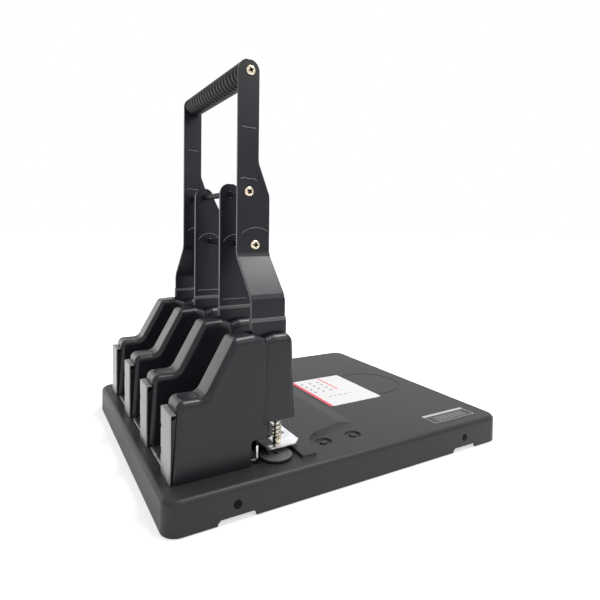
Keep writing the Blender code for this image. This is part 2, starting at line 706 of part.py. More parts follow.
def cover_corners():
    """The cover's side outline as (y, z, radius) corners, anticlockwise from the rear foot."""
    return [
        (COVER_REAR_FOOT_Y, COVER_FOOT_Z, 0.0),
        (THROAT_REAR_Y, COVER_FOOT_Z, 0.0),
        (THROAT_REAR_Y, THROAT_STEP_Z, THROAT_STEP_RADIUS),
        (BLOCK_FRONT_Y, THROAT_STEP_Z, 0.0),
        (BLOCK_FRONT_Y, NOSE_FOOT_Z, 0.0),
        (NOSE_FOOT_Y, NOSE_FOOT_Z, 0.0),
        (NOSE_TOP_Y, LOBE_TOP_Z, NOSE_TOP_RADIUS),
        (LOBE_REAR_Y, LOBE_TOP_Z, LOBE_RADIUS),
        (DIP_Y, DIP_Z, DIP_RADIUS),
        (CROWN_Y, COVER_TOP_Z, CROWN_RADIUS),
        (SLOPE_TOP_Y, SLOPE_TOP_Z, SLOPE_RADIUS),
        (HUMP_FRONT_Y, HUMP_FRONT_Z, HUMP_FRONT_RADIUS),
        (COVER_REAR_TOP_Y, HUMP_REAR_Z, HUMP_REAR_RADIUS),
    ]


def taper(points, half_foot, half_top):
    """Side faces leaned inwards, from one half width at the cover's foot to another at its top."""
    points = points.copy()
    share = (points[:, 2] - COVER_FOOT_Z) / (COVER_TOP_Z - COVER_FOOT_Z)
    points[:, 0] *= half_foot + (half_top - half_foot) * share
    return points


def cover_prism(corners, less, steps=COVER_ARC_STEPS):
    """A side outline drawn across the head, with tapered sides that are that much narrower."""
    points, faces = prism("x", rounded(corners, steps), -1.0, 1.0)
    return taper(points, COVER_FOOT_WIDTH / 2 - less, COVER_TOP_WIDTH / 2 - less), faces


def cover_edge_weight(line):
    """The share of the block's wide corner that rounds each edge along a side face; none along the foot."""
    rims = [abs(face.normal.x) > math.cos(SMOOTH_ANGLE) for face in line.link_faces]
    if sum(rims) != 1 or all(v.co.z < COVER_FOOT_Z + OVERLAP for v in line.verts):
        return 0.0
    if all(abs(v.co.y - BLOCK_FRONT_Y) < OVERLAP and v.co.z < NOSE_FOOT_Z + OVERLAP for v in line.verts):
        return 1.0
    beneath = all(v.co.z < NOSE_FOOT_Z + OVERLAP and v.co.y > THROAT_REAR_Y + OVERLAP for v in line.verts)
    return (UNDER_EDGE if beneath else COVER_EDGE) / BLOCK_CORNER


def crease_cut(side):
    """The shallow V between the body and the nose, leaning with the side face."""
    def ring(z):
        share = (z - COVER_FOOT_Z) / (COVER_TOP_Z - COVER_FOOT_Z)
        face = COVER_FOOT_WIDTH / 2 + (COVER_TOP_WIDTH - COVER_FOOT_WIDTH) / 2 * share
        spread = CREASE_WIDTH * (CREASE_DEPTH + OVERLAP) / CREASE_DEPTH / 2
        return [(side * (face - CREASE_DEPTH), CREASE_Y, z),
                (side * (face + OVERLAP), CREASE_Y - spread, z),
                (side * (face + OVERLAP), CREASE_Y + spread, z)]

    return loft([ring(NOSE_FOOT_Z - OVERLAP), ring(COVER_TOP_Z + OVERLAP)])


def scoop_cut():
    """The shallow dish on the step behind the slope."""
    profile = []
    for k in range(ARC_STEPS + 1):
        rise = k / ARC_STEPS * (SCOOP_DEPTH + OVERLAP)
        radius = math.sqrt(max(SCOOP_RADIUS**2 - (SCOOP_RADIUS - rise - SCOOP_DEPTH / 8) ** 2, 0.0))
        profile.append((HUMP_REAR_Z - SCOOP_DEPTH + rise, radius))
    return turned("z", profile, ROUND_SIDES, (0.0, SCOOP_Y))


def build_cover():
    """One head's cover: a thin shell, open below, at the back and in the lever's slot."""
    hollow = inset(cover_corners(), COVER_WALL)
    hollow[0] = (hollow[0][0], COVER_FOOT_Z - OVERLAP, 0.0)
    hollow[1] = (hollow[1][0], COVER_FOOT_Z - OVERLAP, 0.0)
    # The block's corners are rounded wider than the wall is thick, so the hollow stops further back there.
    for k in (3, 4):
        hollow[k] = (BLOCK_FRONT_Y - BLOCK_WALL, *hollow[k][1:])
    half_window = FRAME_WIDTH / 2 + SEAT_GAP
    half_tail = half_window - FRAME_SHEET
    cuts = [
        cover_prism(hollow, COVER_WALL, HIDDEN_ARC_STEPS),
        crease_cut(-1), crease_cut(1), scoop_cut(),
        box((-SLOT_WIDTH / 2, SLOT_REAR_Y, PIVOT_Z - SLOT_FLOOR_DROP),
            (SLOT_WIDTH / 2, NOSE_FOOT_Y + OVERLAP, COVER_TOP_Z + OVERLAP)),
        box((-half_window, COVER_REAR_FOOT_Y - OVERLAP, COVER_FOOT_Z - OVERLAP),
            (half_window, COVER_REAR_TOP_Y + COVER_WALL + OVERLAP, REAR_WINDOW_TOP)),
        box((-half_tail, THROAT_REAR_Y - COVER_WALL - OVERLAP, COVER_FOOT_Z - OVERLAP),
            (half_tail, THROAT_REAR_Y + OVERLAP, TAIL_FLOOR + SEAT_GAP)),
        rod("z", SPRING_HOLE_RADIUS, NOSE_FOOT_Z - OVERLAP, NOSE_FOOT_Z + COVER_WALL + OVERLAP, ROUND_SIDES,
            (0.0, PIN_Y)),
    ]
    edge = {"width": BLOCK_CORNER, "weights": cover_edge_weight}
    return shaped("head_cover", cover_prism(cover_corners(), 0.0), cut=cuts, edge=edge)


def frame_corners():
    """The frame's side wall, kept clear of the cover."""
    rear = WEB_REAR_Y + FRAME_SHEET / 2
    slope = (SLOPE_TOP_Z - HUMP_FRONT_Z) / (SLOPE_TOP_Y - HUMP_FRONT_Y)
    shoulder_y = HUMP_FRONT_Y + FRAME_CLEARANCE
    top_y = shoulder_y + (FRAME_TOP_Z - FRAME_SHOULDER_Z) / slope
    return [
        (rear, HEAD_SEAT, 0.0),
        (FRAME_THROAT_Y, HEAD_SEAT, 0.0),
        (FRAME_THROAT_Y, FRAME_NOSE_Z, 0.0),
        (FRAME_FRONT_Y, FRAME_NOSE_Z, 0.0),
        (FRAME_FRONT_Y, FRAME_TOP_Z, FRAME_RADIUS),
        (top_y, FRAME_TOP_Z, FRAME_RADIUS),
        (shoulder_y, FRAME_SHOULDER_Z, FRAME_RADIUS),
        (COVER_REAR_TOP_Y + FRAME_CLEARANCE, FRAME_SHOULDER_Z, FRAME_RADIUS),
        (rear, REAR_WINDOW_TOP - FRAME_CLEARANCE, 0.0),
    ]


def build_frame():
    """One head's frame: rear web with its lip, two side walls, a floor and two pin guides."""
    half = FRAME_WIDTH / 2
    walls = [prism("x", rounded(frame_corners()), side * half, side * (half - FRAME_SHEET))
             for side in (-1, 1)]
    web = box((-WEB_WIDTH / 2, WEB_REAR_Y, HEAD_SEAT), (WEB_WIDTH / 2, WEB_REAR_Y + FRAME_SHEET, WEB_TOP))
    lip_front = COVER_REAR_TOP_Y - SEAT_GAP - OVERLAP / 2
    joined = [
        box((-WEB_WIDTH / 2, WEB_REAR_Y + FRAME_SHEET / 2, WEB_TOP - FRAME_SHEET),
            (WEB_WIDTH / 2, lip_front, WEB_TOP)),
        *walls,
        box((-half + FRAME_SHEET / 2, WEB_REAR_Y + FRAME_SHEET / 2, HEAD_SEAT),
            (half - FRAME_SHEET / 2, FRAME_THROAT_Y, HEAD_SEAT + FRAME_SHEET)),
    ]
    for z in (FRAME_NOSE_Z, UPPER_GUIDE_Z):
        joined.append(box((-half + FRAME_SHEET / 2, GUIDE_REAR_Y, z),
                          (half - FRAME_SHEET / 2, FRAME_FRONT_Y, z + FRAME_SHEET)))
    spring_way = SPRING_RADIUS + WIRE_RADIUS + SEAT_GAP
    cuts = [
        rod("z", spring_way, FRAME_NOSE_Z - OVERLAP, FRAME_NOSE_Z + FRAME_SHEET + OVERLAP, ROUND_SIDES,
            (0.0, PIN_Y)),
        rod("z", PIN_RADIUS + PIN_CLEARANCE, UPPER_GUIDE_Z - OVERLAP, UPPER_GUIDE_Z + FRAME_SHEET + OVERLAP,
            ROUND_SIDES, (0.0, PIN_Y)),
        rod("x", PIVOT_RADIUS + SEAT_GAP, -half - OVERLAP, half + OVERLAP, ROUND_SIDES, (PIVOT_Y, PIVOT_Z)),
        rod("z", WEB_HOLE_RADIUS, WEB_TOP - FRAME_SHEET - OVERLAP, WEB_TOP + OVERLAP, SMALL_SIDES,
            (WEB_WIDTH / 5, WEB_REAR_Y + FRAME_SHEET + WEB_LIP / 4)),
    ]
    for z in [HEAD_SEAT + rise for rise in WEB_NOTCH_RISES]:
        cuts.append(box((-WEB_WIDTH / 2 - OVERLAP, WEB_REAR_Y - OVERLAP, z),
                        (-WEB_WIDTH / 2 + WEB_NOTCH, WEB_REAR_Y + FRAME_SHEET / 3, z + WEB_NOTCH_HEIGHT)))
    return shaped("head_frame", web, joined=joined, cut=cuts)


def sheet_strip(stations):
    """Bent sheet from (y, z, half width, thickness) stations, each with its pair of edges across the bend."""
    places = np.array([(y, z) for y, z, _, _ in stations])
    rings = []
    for i, (y, z, half, thick) in enumerate(stations):
        before = places[i] - places[i - 1] if i else places[1] - places[0]
        after = places[i + 1] - places[i] if i + 1 < len(stations) else before
        before, after = before / np.linalg.norm(before), after / np.linalg.norm(after)
        normal = np.array([-(before + after)[1], (before + after)[0]])
        normal /= np.linalg.norm(normal)
        reach = thick / abs(float(normal @ np.array([-after[1], after[0]])))
        low = np.array([y, z]) - normal * reach
        rings.append([(-half, y, z), (half, y, z), (half, *low), (-half, *low)])
    return loft(rings)


def head_seat_solids(x):
    """What holds the plate at one head: sloping tongue, upright leg, and tail on the frame's floor."""
    narrow, wide = STRIPPER_OVERHANG, TONGUE_HALF_WIDTH
    tail_half = FRAME_WIDTH / 2 - FRAME_SHEET - SEAT_GAP
    points, faces = sheet_strip([
        (LEG_Y - LEG_SHEET, LEG_TOP, wide, STRIPPER_SHEET),
        (LEG_Y, LEG_TOP, wide, STRIPPER_SHEET),
        (STRIPPER_REAR_Y, STRIPPER_TOP, narrow, STRIPPER_SHEET),
        (STOP_Y, STRIPPER_TOP, narrow, STRIPPER_SHEET),
    ])
    upright = box((x - wide, LEG_Y - LEG_SHEET, HEAD_SEAT), (x + wide, LEG_Y, LEG_TOP - STRIPPER_SHEET / 2))
    tail = box((x - tail_half, LEG_Y - LEG_TAIL, TAIL_FLOOR - LEG_SHEET),
               (x + tail_half, LEG_Y - LEG_SHEET / 2, TAIL_FLOOR))
    return [(points + np.array([x, 0.0, 0.0]), faces), upright, tail]


def build_stripper():
    """One long sheet over the discs, its rear edge bent down as the paper stop, held at each head."""
    half, corner = STRIPPER_HALF, STRIPPER_CORNER
    outline = rounded([
        (-half, STRIPPER_REAR_Y, 0.0), (half, STRIPPER_REAR_Y, 0.0),
        (half, STRIPPER_FRONT_Y - corner, corner / 3), (half - corner, STRIPPER_FRONT_Y, corner / 3),
        (corner - half, STRIPPER_FRONT_Y, corner / 3), (-half, STRIPPER_FRONT_Y - corner, corner / 3),
    ])
    stop = box((-half, STRIPPER_REAR_Y, HEAD_SEAT), (half, STOP_Y, STRIPPER_TOP - STRIPPER_SHEET / 2))
    joined, cuts = [stop], []
    for x in HEAD_XS:
        joined += head_seat_solids(x)
        way = DISC_RADIUS + STOP_NOTCH_GAP
        cuts.append(box((x + DISC_OFFSET_X - way, STRIPPER_REAR_Y - OVERLAP, HEAD_SEAT - OVERLAP),
                        (x + DISC_OFFSET_X + way, STOP_Y + OVERLAP, DISC_TOP + STOP_NOTCH_GAP)))
        cuts.append(rod("z", PIN_RADIUS + PIN_CLEARANCE, STRIPPER_UNDERSIDE - OVERLAP, STRIPPER_TOP + OVERLAP,
                        SMALL_SIDES, (x, PIN_Y)))
    sheet = prism("z", outline, STRIPPER_UNDERSIDE, STRIPPER_TOP)
    return shaped("stripper_plate", sheet, joined=joined, cut=cuts)


def build_bush():
    """The tapered bush under the spring, with the pin's bore. Its origin is the middle of its foot."""
    shoulder = BUSH_HEIGHT * (1 - BUSH_CHAMFER_SHARE)
    profile = [(0.0, BUSH_FOOT_RADIUS), (shoulder, BUSH_TOP_RADIUS), (BUSH_HEIGHT, BUSH_TOP_RADIUS)]
    bore = rod("z", PIN_RADIUS + PIN_CLEARANCE, -OVERLAP, BUSH_HEIGHT + OVERLAP, ROUND_SIDES)
    return shaped("guide_bush", turned("z", profile, ROUND_SIDES), cut=[bore])


def build_punch_pin():
    """A hollow pin with a spring collar, a chip window and a flat head. Its origin is the middle of its tip."""
    length = PIN_HEAD_TOP - PIN_TIP_Z
    collar = PIN_COLLAR_Z - PIN_TIP_Z
    profile = [
        (0.0, PIN_RADIUS),
        (collar, PIN_RADIUS), (collar, PIN_COLLAR_RADIUS),
        (collar + PIN_COLLAR_HEIGHT, PIN_COLLAR_RADIUS), (collar + PIN_COLLAR_HEIGHT, PIN_RADIUS),
        (length - PIN_HEAD_HEIGHT, PIN_RADIUS), (length - PIN_HEAD_HEIGHT, PIN_HEAD_RADIUS),
        (length - PIN_CHAMFER, PIN_HEAD_RADIUS), (length, PIN_HEAD_RADIUS - PIN_CHAMFER),
    ]
    bore = rod("z", PIN_BORE, -OVERLAP, PIN_BORE_DEPTH, SMALL_SIDES)
    window = box((-WINDOW_WIDTH / 2, 0.0, PIN_BORE_DEPTH - WINDOW_HEIGHT),
                 (WINDOW_WIDTH / 2, PIN_RADIUS + OVERLAP, PIN_BORE_DEPTH - OVERLAP))
    return shaped("punch_pin", turned("z", profile, ROUND_SIDES), cut=[bore, window])


def spring_route():
    """Points of the helix: straight for one wire width at each end, close at the ends and open between."""
    start = BUSH_TOP + SEAT_GAP + WIRE_RADIUS
    end = PIN_COLLAR_Z - SEAT_GAP - WIRE_RADIUS
    open_turns = round((end - start - 2 * SPRING_END_TURNS * SPRING_END_PITCH) / SPRING_PITCH)
    open_pitch = (end - start - 2 * SPRING_END_TURNS * SPRING_END_PITCH) / open_turns
    turns = open_turns + 2 * SPRING_END_TURNS
    steps = np.arange(turns * CURL_POINTS + 1) / CURL_POINTS
    height = np.interp(
        steps,
        [0, SPRING_END_TURNS, turns - SPRING_END_TURNS, turns],
        [0, SPRING_END_TURNS * SPRING_END_PITCH,
         SPRING_END_TURNS * SPRING_END_PITCH + open_turns * open_pitch, end - start],
    )
    turn = steps * 2 * math.pi
    helix = np.stack([SPRING_RADIUS * np.cos(turn), SPRING_RADIUS * np.sin(turn), start + height], 1)
    lead = np.array([0.0, -2 * WIRE_RADIUS, 0.0])
    return np.concatenate([[helix[0] + lead], helix, [helix[-1] - lead]])


def spring_gap(route):
    """The least clear distance between the wire and its own next turns."""
    away = np.linalg.norm(route[:, None] - route[None], axis=2)
    order = np.arange(len(route))
    far = np.abs(order[:, None] - order[None]) >= CURL_POINTS / 2
    return float(away[far].min()) - 2 * WIRE_RADIUS


def build_springs():
    route = spring_route()
    print(f"return spring: {len(route)} points, least gap to itself {spring_gap(route) * 1000:.2f} mm")
    wire = bpy.data.curves.new("return_spring", "CURVE")
    wire.dimensions = "3D"
    wire.bevel_depth = WIRE_RADIUS
    wire.bevel_resolution = 1
    wire.use_fill_caps = True
    line = wire.splines.new("POLY")
    line.points.add(len(route) - 1)
    line.points.foreach_set("co", np.concatenate([route, np.ones((len(route), 1))], 1).ravel())
    wire.materials.append(finish("yellow zinc"))
    for x, name in zip(HEAD_XS, HEAD_NAMES):
        obj = bpy.data.objects.new(f"return_spring_{name}", wire)
        obj.location = (x, PIN_Y, 0.0)
        bpy.context.scene.collection.objects.link(obj)


def disc_mark():
    """A small open ring sunk in the disc's top, beside its centre."""
    turns = np.linspace(*DISC_MARK_TURN, SMALL_SIDES)
    arc = np.stack([np.cos(turns), np.sin(turns)], 1)
    outline = np.concatenate([arc * DISC_MARK_RADIUS, arc[::-1] * (DISC_MARK_RADIUS - DISC_MARK_WIDTH)])
    outline += np.array(DISC_MARK_AT)
    top = DISC_TOP - DISC_SEAT
    return prism("z", outline, top - DISC_MARK_DEPTH, top + OVERLAP)


def build_disc():
    """A cutting disc that turns on its boss. Its origin is on its axis."""
    height = DISC_TOP - DISC_SEAT
    profile = [(0.0, DISC_RADIUS - DISC_CHAMFER), (DISC_CHAMFER, DISC_RADIUS),
               (height - DISC_CHAMFER, DISC_RADIUS),
               (height, DISC_RADIUS - DISC_CHAMFER)]
    cuts = [
        rod("z", DISC_BOSS_RADIUS + SEAT_GAP, -OVERLAP, DISC_BOSS_HEIGHT + SEAT_GAP, SMALL_SIDES),
        rod("z", DISC_HOLE_RADIUS, 0.0, height + OVERLAP, SMALL_SIDES),
        disc_mark(),
    ]
    return shaped("cutting_disc", turned("z", profile, DISC_SIDES), cut=cuts)


def build_heads():
    cover, frame, bush = build_cover(), build_frame(), build_bush()
    pin, disc = build_punch_pin(), build_disc()
    place("stripper_plate", build_stripper(), "zinc")
    pivot_half = FRAME_WIDTH / 2
    pivot = shaped("pivot_pin", turned("x", [
        (-pivot_half, PIVOT_RADIUS - SEAT_GAP), (-pivot_half + SEAT_GAP, PIVOT_RADIUS),
        (pivot_half - SEAT_GAP, PIVOT_RADIUS), (pivot_half, PIVOT_RADIUS - SEAT_GAP)], ROUND_SIDES))
    for x, name in zip(HEAD_XS, HEAD_NAMES):
        place(f"head_frame_{name}", frame, "zinc", (x, 0.0, 0.0))
        place(f"head_cover_{name}", cover, "cover plastic", (x, 0.0, 0.0))
        place(f"guide_bush_{name}", bush, "yellow zinc", (x, PIN_Y, BUSH_SEAT))
        place(f"pivot_pin_{name}", pivot, "tool steel", (x, PIVOT_Y, PIVOT_Z))
        place(f"punch_pin_{name}", pin, "tool steel", (x, PIN_Y, PIN_TIP_Z))
        place(f"cutting_disc_{name}", disc, "disc plastic",
              (x + DISC_OFFSET_X, PIN_Y + DISC_OFFSET_Y, DISC_SEAT))


# Lever. Its pieces are measured from the pivot line.


def arm_front(z, flare_foot, flare_top):
    """Y of an arm's front edge at a height: wide below the flare, narrow above it."""
    share = np.clip((z - flare_foot) / (flare_top - flare_foot), 0.0, 1.0)
    eased = share * share * (3 - 2 * share)
    return ARM_REAR_Y + ARM_WIDE + (ARM_NARROW - ARM_WIDE) * eased


def arm_solid(path, flare_rises, top_z, top_y):
    """A flat steel arm from the (x, z) path of its middle, foot first, its flare and its round top's centre."""
    flare = [PIVOT_Z + rise for rise in flare_rises]
    heights = sorted({z for _, z in path}
                     | {flare[0] + (flare[1] - flare[0]) * share for share in FLARE_SHARES})
    heights = [z for z in heights if z < top_z]
    xs = [x for x, _ in path]
    zs = [z for _, z in path]
    stations = [(np.interp(z, zs, xs), z, ARM_REAR_Y, arm_front(z, *flare)) for z in heights]
    round_half = ARM_NARROW / 2
    for k in range(TOP_ARC_STEPS):
        turn = k / TOP_ARC_STEPS * math.pi / 2
        middle = top_y
        stations.append((xs[-1], top_z + round_half * math.sin(turn),
                         middle - round_half * math.cos(turn), middle + round_half * math.cos(turn)))
    centre = np.array([(x, z) for x, z, _, _ in stations])
    rings = []
    for i, (x, z, rear, front) in enumerate(stations):
        last = centre[i] - centre[i - 1] if i else centre[1] - centre[0]
        after = centre[i + 1] - centre[i] if i + 1 < len(stations) else last
        last, after = last / np.linalg.norm(last), after / np.linalg.norm(after)
        normal = np.array([(last + after)[1], -(last + after)[0]])
        normal /= np.linalg.norm(normal)
        reach = ARM_SHEET / 2 / float(normal @ np.array([after[1], -after[0]]))
        outer, inner = np.array([x, z]) + normal * reach, np.array([x, z]) - normal * reach
        rings.append([(outer[0], rear, outer[1]), (outer[0], front, outer[1]),
                      (inner[0], front, inner[1]), (inner[0], rear, inner[1])])
    points, faces = loft(rings)
    return from_pivot(points), faces


def from_pivot(points):
    return np.asarray(points, float) - np.array([0.0, PIVOT_Y, PIVOT_Z])


def moved(solid):
    points, faces = solid
    return from_pivot(points), faces


def cross_hole(radius, y, z, sides=ROUND_SIDES):
    reach = HEAD_PITCH * HEAD_COUNT
    return moved(rod("x", radius, -reach, reach, sides, (y, z)))


def build_arms(lever):
    foot_top = FOOT_SLOT_FLOOR + SEAT_GAP
    ties = [cross_hole(TIE_RADIUS + SEAT_GAP, UPPER_TIE_Y, UPPER_TIE_Z),
            cross_hole(TIE_RADIUS + SEAT_GAP, LOWER_TIE_Y, LOWER_TIE_Z)]
    screw_way = cross_hole(SCREW_WAY_RADIUS, GRIP_Y, GRIP_Z, SMALL_SIDES)
    outer_x = HEAD_XS[-1]
    for side, name in ((-1, "left"), (1, "right")):
        path = [
            (side * outer_x, foot_top), (side * outer_x, JOG_FOOT_Z - JOG_BEND),
            (side * (outer_x - (outer_x - OUTER_ARM_X) * JOG_BEND / (JOG_TOP_Z - JOG_FOOT_Z)),
             JOG_FOOT_Z + JOG_BEND),
            (side * (OUTER_ARM_X + (outer_x - OUTER_ARM_X) * JOG_BEND / (JOG_TOP_Z - JOG_FOOT_Z)),
             JOG_TOP_Z - JOG_BEND),
            (side * OUTER_ARM_X, JOG_TOP_Z + JOG_BEND), (side * OUTER_ARM_X, GRIP_Z),
        ]
        solid = arm_solid(path, OUTER_FLARE_RISES, GRIP_Z, ARM_REAR_Y + ARM_NARROW / 2)
        place(f"outer_arm_{name}", shaped("outer_arm", solid, cut=[screw_way, *ties]), "lever enamel",
              parent=lever)
        inner_x = side * HEAD_PITCH / 2
        inner = arm_solid([(inner_x, foot_top), (inner_x, UPPER_TIE_Z)], INNER_FLARE_RISES,
                          UPPER_TIE_Z, ARM_REAR_Y + ARM_NARROW / 2)
        place(f"inner_arm_{name}", shaped("inner_arm", inner, cut=ties), "lever enamel", parent=lever)


def cam_outline():
    """The foot seen from the side, from the pivot: involute lobe, front edge, top, rear edge and heel."""
    turn = np.linspace(-CAM_RUN_ON, LEVER_SWING + CAM_RUN_ON, CAM_POINTS)
    drop = CAM_START_DROP + CAM_BASE * turn
    lobe = np.stack([CAM_BASE * np.cos(turn) + drop * np.sin(turn),
                     CAM_BASE * np.sin(turn) - drop * np.cos(turn)], 1)
    rear, front = ARM_REAR_Y - PIVOT_Y - SEAT_GAP, ARM_REAR_Y + ARM_WIDE - PIVOT_Y + SEAT_GAP
    top, low = FOOT_CHEEK_TOP - PIVOT_Z, FOOT_REAR_LOW_Z - PIVOT_Z
    upper = [(front, HUB_RADIUS), (front, top), (rear, top), (rear, low)]
    heel = [(-FOOT_HEEL, 0.0), (-FOOT_HEEL * math.cos(math.pi / 4), -CAM_START_DROP * math.sin(math.pi / 3))]
    return np.concatenate([lobe, upper, heel])


def build_cam_foot():
    """One arm's foot: cheeks with a chamfered top round the arm's end, a hub on the pivot and a cam lobe."""
    half = FOOT_THICKNESS / 2
    blank = prism("x", cam_outline(), -half, half)
    reach = FRAME_WIDTH / 2 - FRAME_SHEET - SEAT_GAP
    hub = rod("x", HUB_RADIUS, -reach, reach, ROUND_SIDES)
    slot_half = ARM_SHEET / 2 + SEAT_GAP
    slot = box((-slot_half, ARM_REAR_Y - PIVOT_Y - OVERLAP, FOOT_SLOT_FLOOR - PIVOT_Z),
               (slot_half, ARM_REAR_Y + ARM_WIDE - PIVOT_Y + OVERLAP, FOOT_CHEEK_TOP - PIVOT_Z + OVERLAP))
    bore = rod("x", PIVOT_RADIUS + SEAT_GAP, -reach - OVERLAP, reach + OVERLAP, ROUND_SIDES)
    top = FOOT_CHEEK_TOP - PIVOT_Z
    chamfers = []
    for side in (-1, 1):
        wedge = [(side * (half + OVERLAP), top - FOOT_CHEEK_CHAMFER), (side * half, top - FOOT_CHEEK_CHAMFER),
                 (side * (slot_half + SEAT_GAP), top + OVERLAP / 4),
                 (side * (half + OVERLAP), top + OVERLAP / 4)]
        ends = (ARM_REAR_Y - PIVOT_Y - OVERLAP, ARM_REAR_Y + ARM_WIDE - PIVOT_Y + OVERLAP)
        rings = [[(x, y, z) for x, z in wedge] for y in ends]
        chamfers.append(loft(rings))
    return shaped("cam_foot", blank, joined=[hub], cut=[slot, bore, *chamfers])


def grip_profile(half):
    """(x, radius) of the sleeve: plain ends and evenly spaced ribs."""
    run = 2 * (half - GRIP_END_LENGTH)
    pitch = run / GRIP_RIBS
    out = [(-half, GRIP_RADIUS - GRIP_RIB), (-half, GRIP_RADIUS - GRIP_RIB / 3)]
    for i in range(GRIP_RIBS):
        for share, rise in RIB_SHARES:
            out.append((-half + GRIP_END_LENGTH + (i + share) * pitch, GRIP_RADIUS - GRIP_RIB * (1 - rise)))
    out += [(half - GRIP_END_LENGTH, GRIP_RADIUS - GRIP_RIB), (half, GRIP_RADIUS - GRIP_RIB / 3)]
    return out


def screw_solid(side, shank_radius, shank_length):
    """A pan-head screw along X, head out on the given side, measured from the face that it bears on."""
    profile = [(-shank_length, shank_radius), (0.0, shank_radius), (0.0, SCREW_HEAD_RADIUS)]
    profile += [(SCREW_HEAD_HEIGHT * rise, SCREW_HEAD_RADIUS * out) for out, rise in DOME_SHARES]
    solid = turned("x", [(side * height, radius) for height, radius in profile], ROUND_SIDES)
    deep, high = sorted((side * (SCREW_HEAD_HEIGHT - SCREW_CROSS_DEPTH),
                         side * (SCREW_HEAD_HEIGHT + OVERLAP)))
    long, thin = SCREW_CROSS_LENGTH / 2, SCREW_CROSS_WIDTH / 2
    cross = [(long, -thin), (long, thin), (thin, thin), (thin, long), (-thin, long), (-thin, thin),
             (-long, thin), (-long, -thin), (-thin, -thin), (-thin, -long), (thin, -long), (thin, -thin)]
    return shaped("arm_screw", solid, cut=[prism("x", cross, deep, high)])


def tapped_rod(radius, half):
    """A rod with a blind screw hole in each end."""
    way = SCREW_SHANK_RADIUS + SEAT_GAP
    holes = [rod("x", way, half - TAPPED_DEPTH, half + OVERLAP, SMALL_SIDES),
             rod("x", way, -half - OVERLAP, TAPPED_DEPTH - half, SMALL_SIDES)]
    return shaped("rod", rod("x", radius, -half, half, ROUND_SIDES), cut=holes)


def build_grip_and_rods(lever):
    inner_face = OUTER_ARM_X - ARM_SHEET / 2
    outer_face = OUTER_ARM_X + ARM_SHEET / 2
    half = inner_face - SEAT_GAP
    bore = rod("x", GRIP_ROD_RADIUS + SEAT_GAP, -half - OVERLAP, half + OVERLAP, ROUND_SIDES)
    grip_at = (0.0, GRIP_Y - PIVOT_Y, GRIP_Z - PIVOT_Z)
    sleeve = shaped("grip_sleeve", turned("x", grip_profile(half), ROUND_SIDES), cut=[bore])
    place("grip_sleeve", sleeve, "grip rubber", grip_at, lever)
    place("grip_rod", tapped_rod(GRIP_ROD_RADIUS, half), "tool steel", grip_at, lever)
    for name, y, z in (("upper", UPPER_TIE_Y, UPPER_TIE_Z), ("lower", LOWER_TIE_Y, LOWER_TIE_Z)):
        at = (0.0, y - PIVOT_Y, z - PIVOT_Z)
        place(f"tie_rod_{name}", tapped_rod(TIE_RADIUS, outer_face), "lever enamel", at, lever)
    for side, side_name in ((-1, "left"), (1, "right")):
        screw = screw_solid(side, SCREW_SHANK_RADIUS, SCREW_SHANK_LENGTH)
        x = side * (outer_face + SEAT_GAP)
        for name, y, z in (("grip_screw", GRIP_Y, GRIP_Z), ("upper_tie_screw", UPPER_TIE_Y, UPPER_TIE_Z),
                           ("lower_tie_screw", LOWER_TIE_Y, LOWER_TIE_Z)):
            place(f"{name}_{side_name}", screw, "yellow zinc", (x, y - PIVOT_Y, z - PIVOT_Z), lever)


def build_lever():
    lever = bpy.data.objects.new("lever_axis", None)
    lever.location = (0.0, PIVOT_Y, PIVOT_Z)
    bpy.context.scene.collection.objects.link(lever)
    build_arms(lever)
    foot = build_cam_foot()
    for x, name in zip(HEAD_XS, HEAD_NAMES):
        place(f"cam_foot_{name}", foot, "lever enamel", (x, 0.0, 0.0), lever)
    build_grip_and_rods(lever)


def main():
    clear_scene()
    build_base()
    build_labels_and_rail()
    build_tray()
    build_heads()
    build_springs()
    build_lever()
    print(f"stroke {PIN_STROKE * 1000:.3f} mm, cam base radius {CAM_BASE * 1000:.4f} mm, "
          f"pivot y {PIVOT_Y * 1000:.4f} mm")


main()
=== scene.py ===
"""Looks of a four-hole desk punch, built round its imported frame. Metres, +Z up, in the frame's axes.

X runs along the row of heads and Y from the backs of the heads to the front of the paper table.
Every new piece is a numpy surface with its place in its mesh; the other nodes keep their CAD shape.
"""

import json
import math

import bmesh
import bpy
import numpy as np
from mathutils import Matrix, Vector


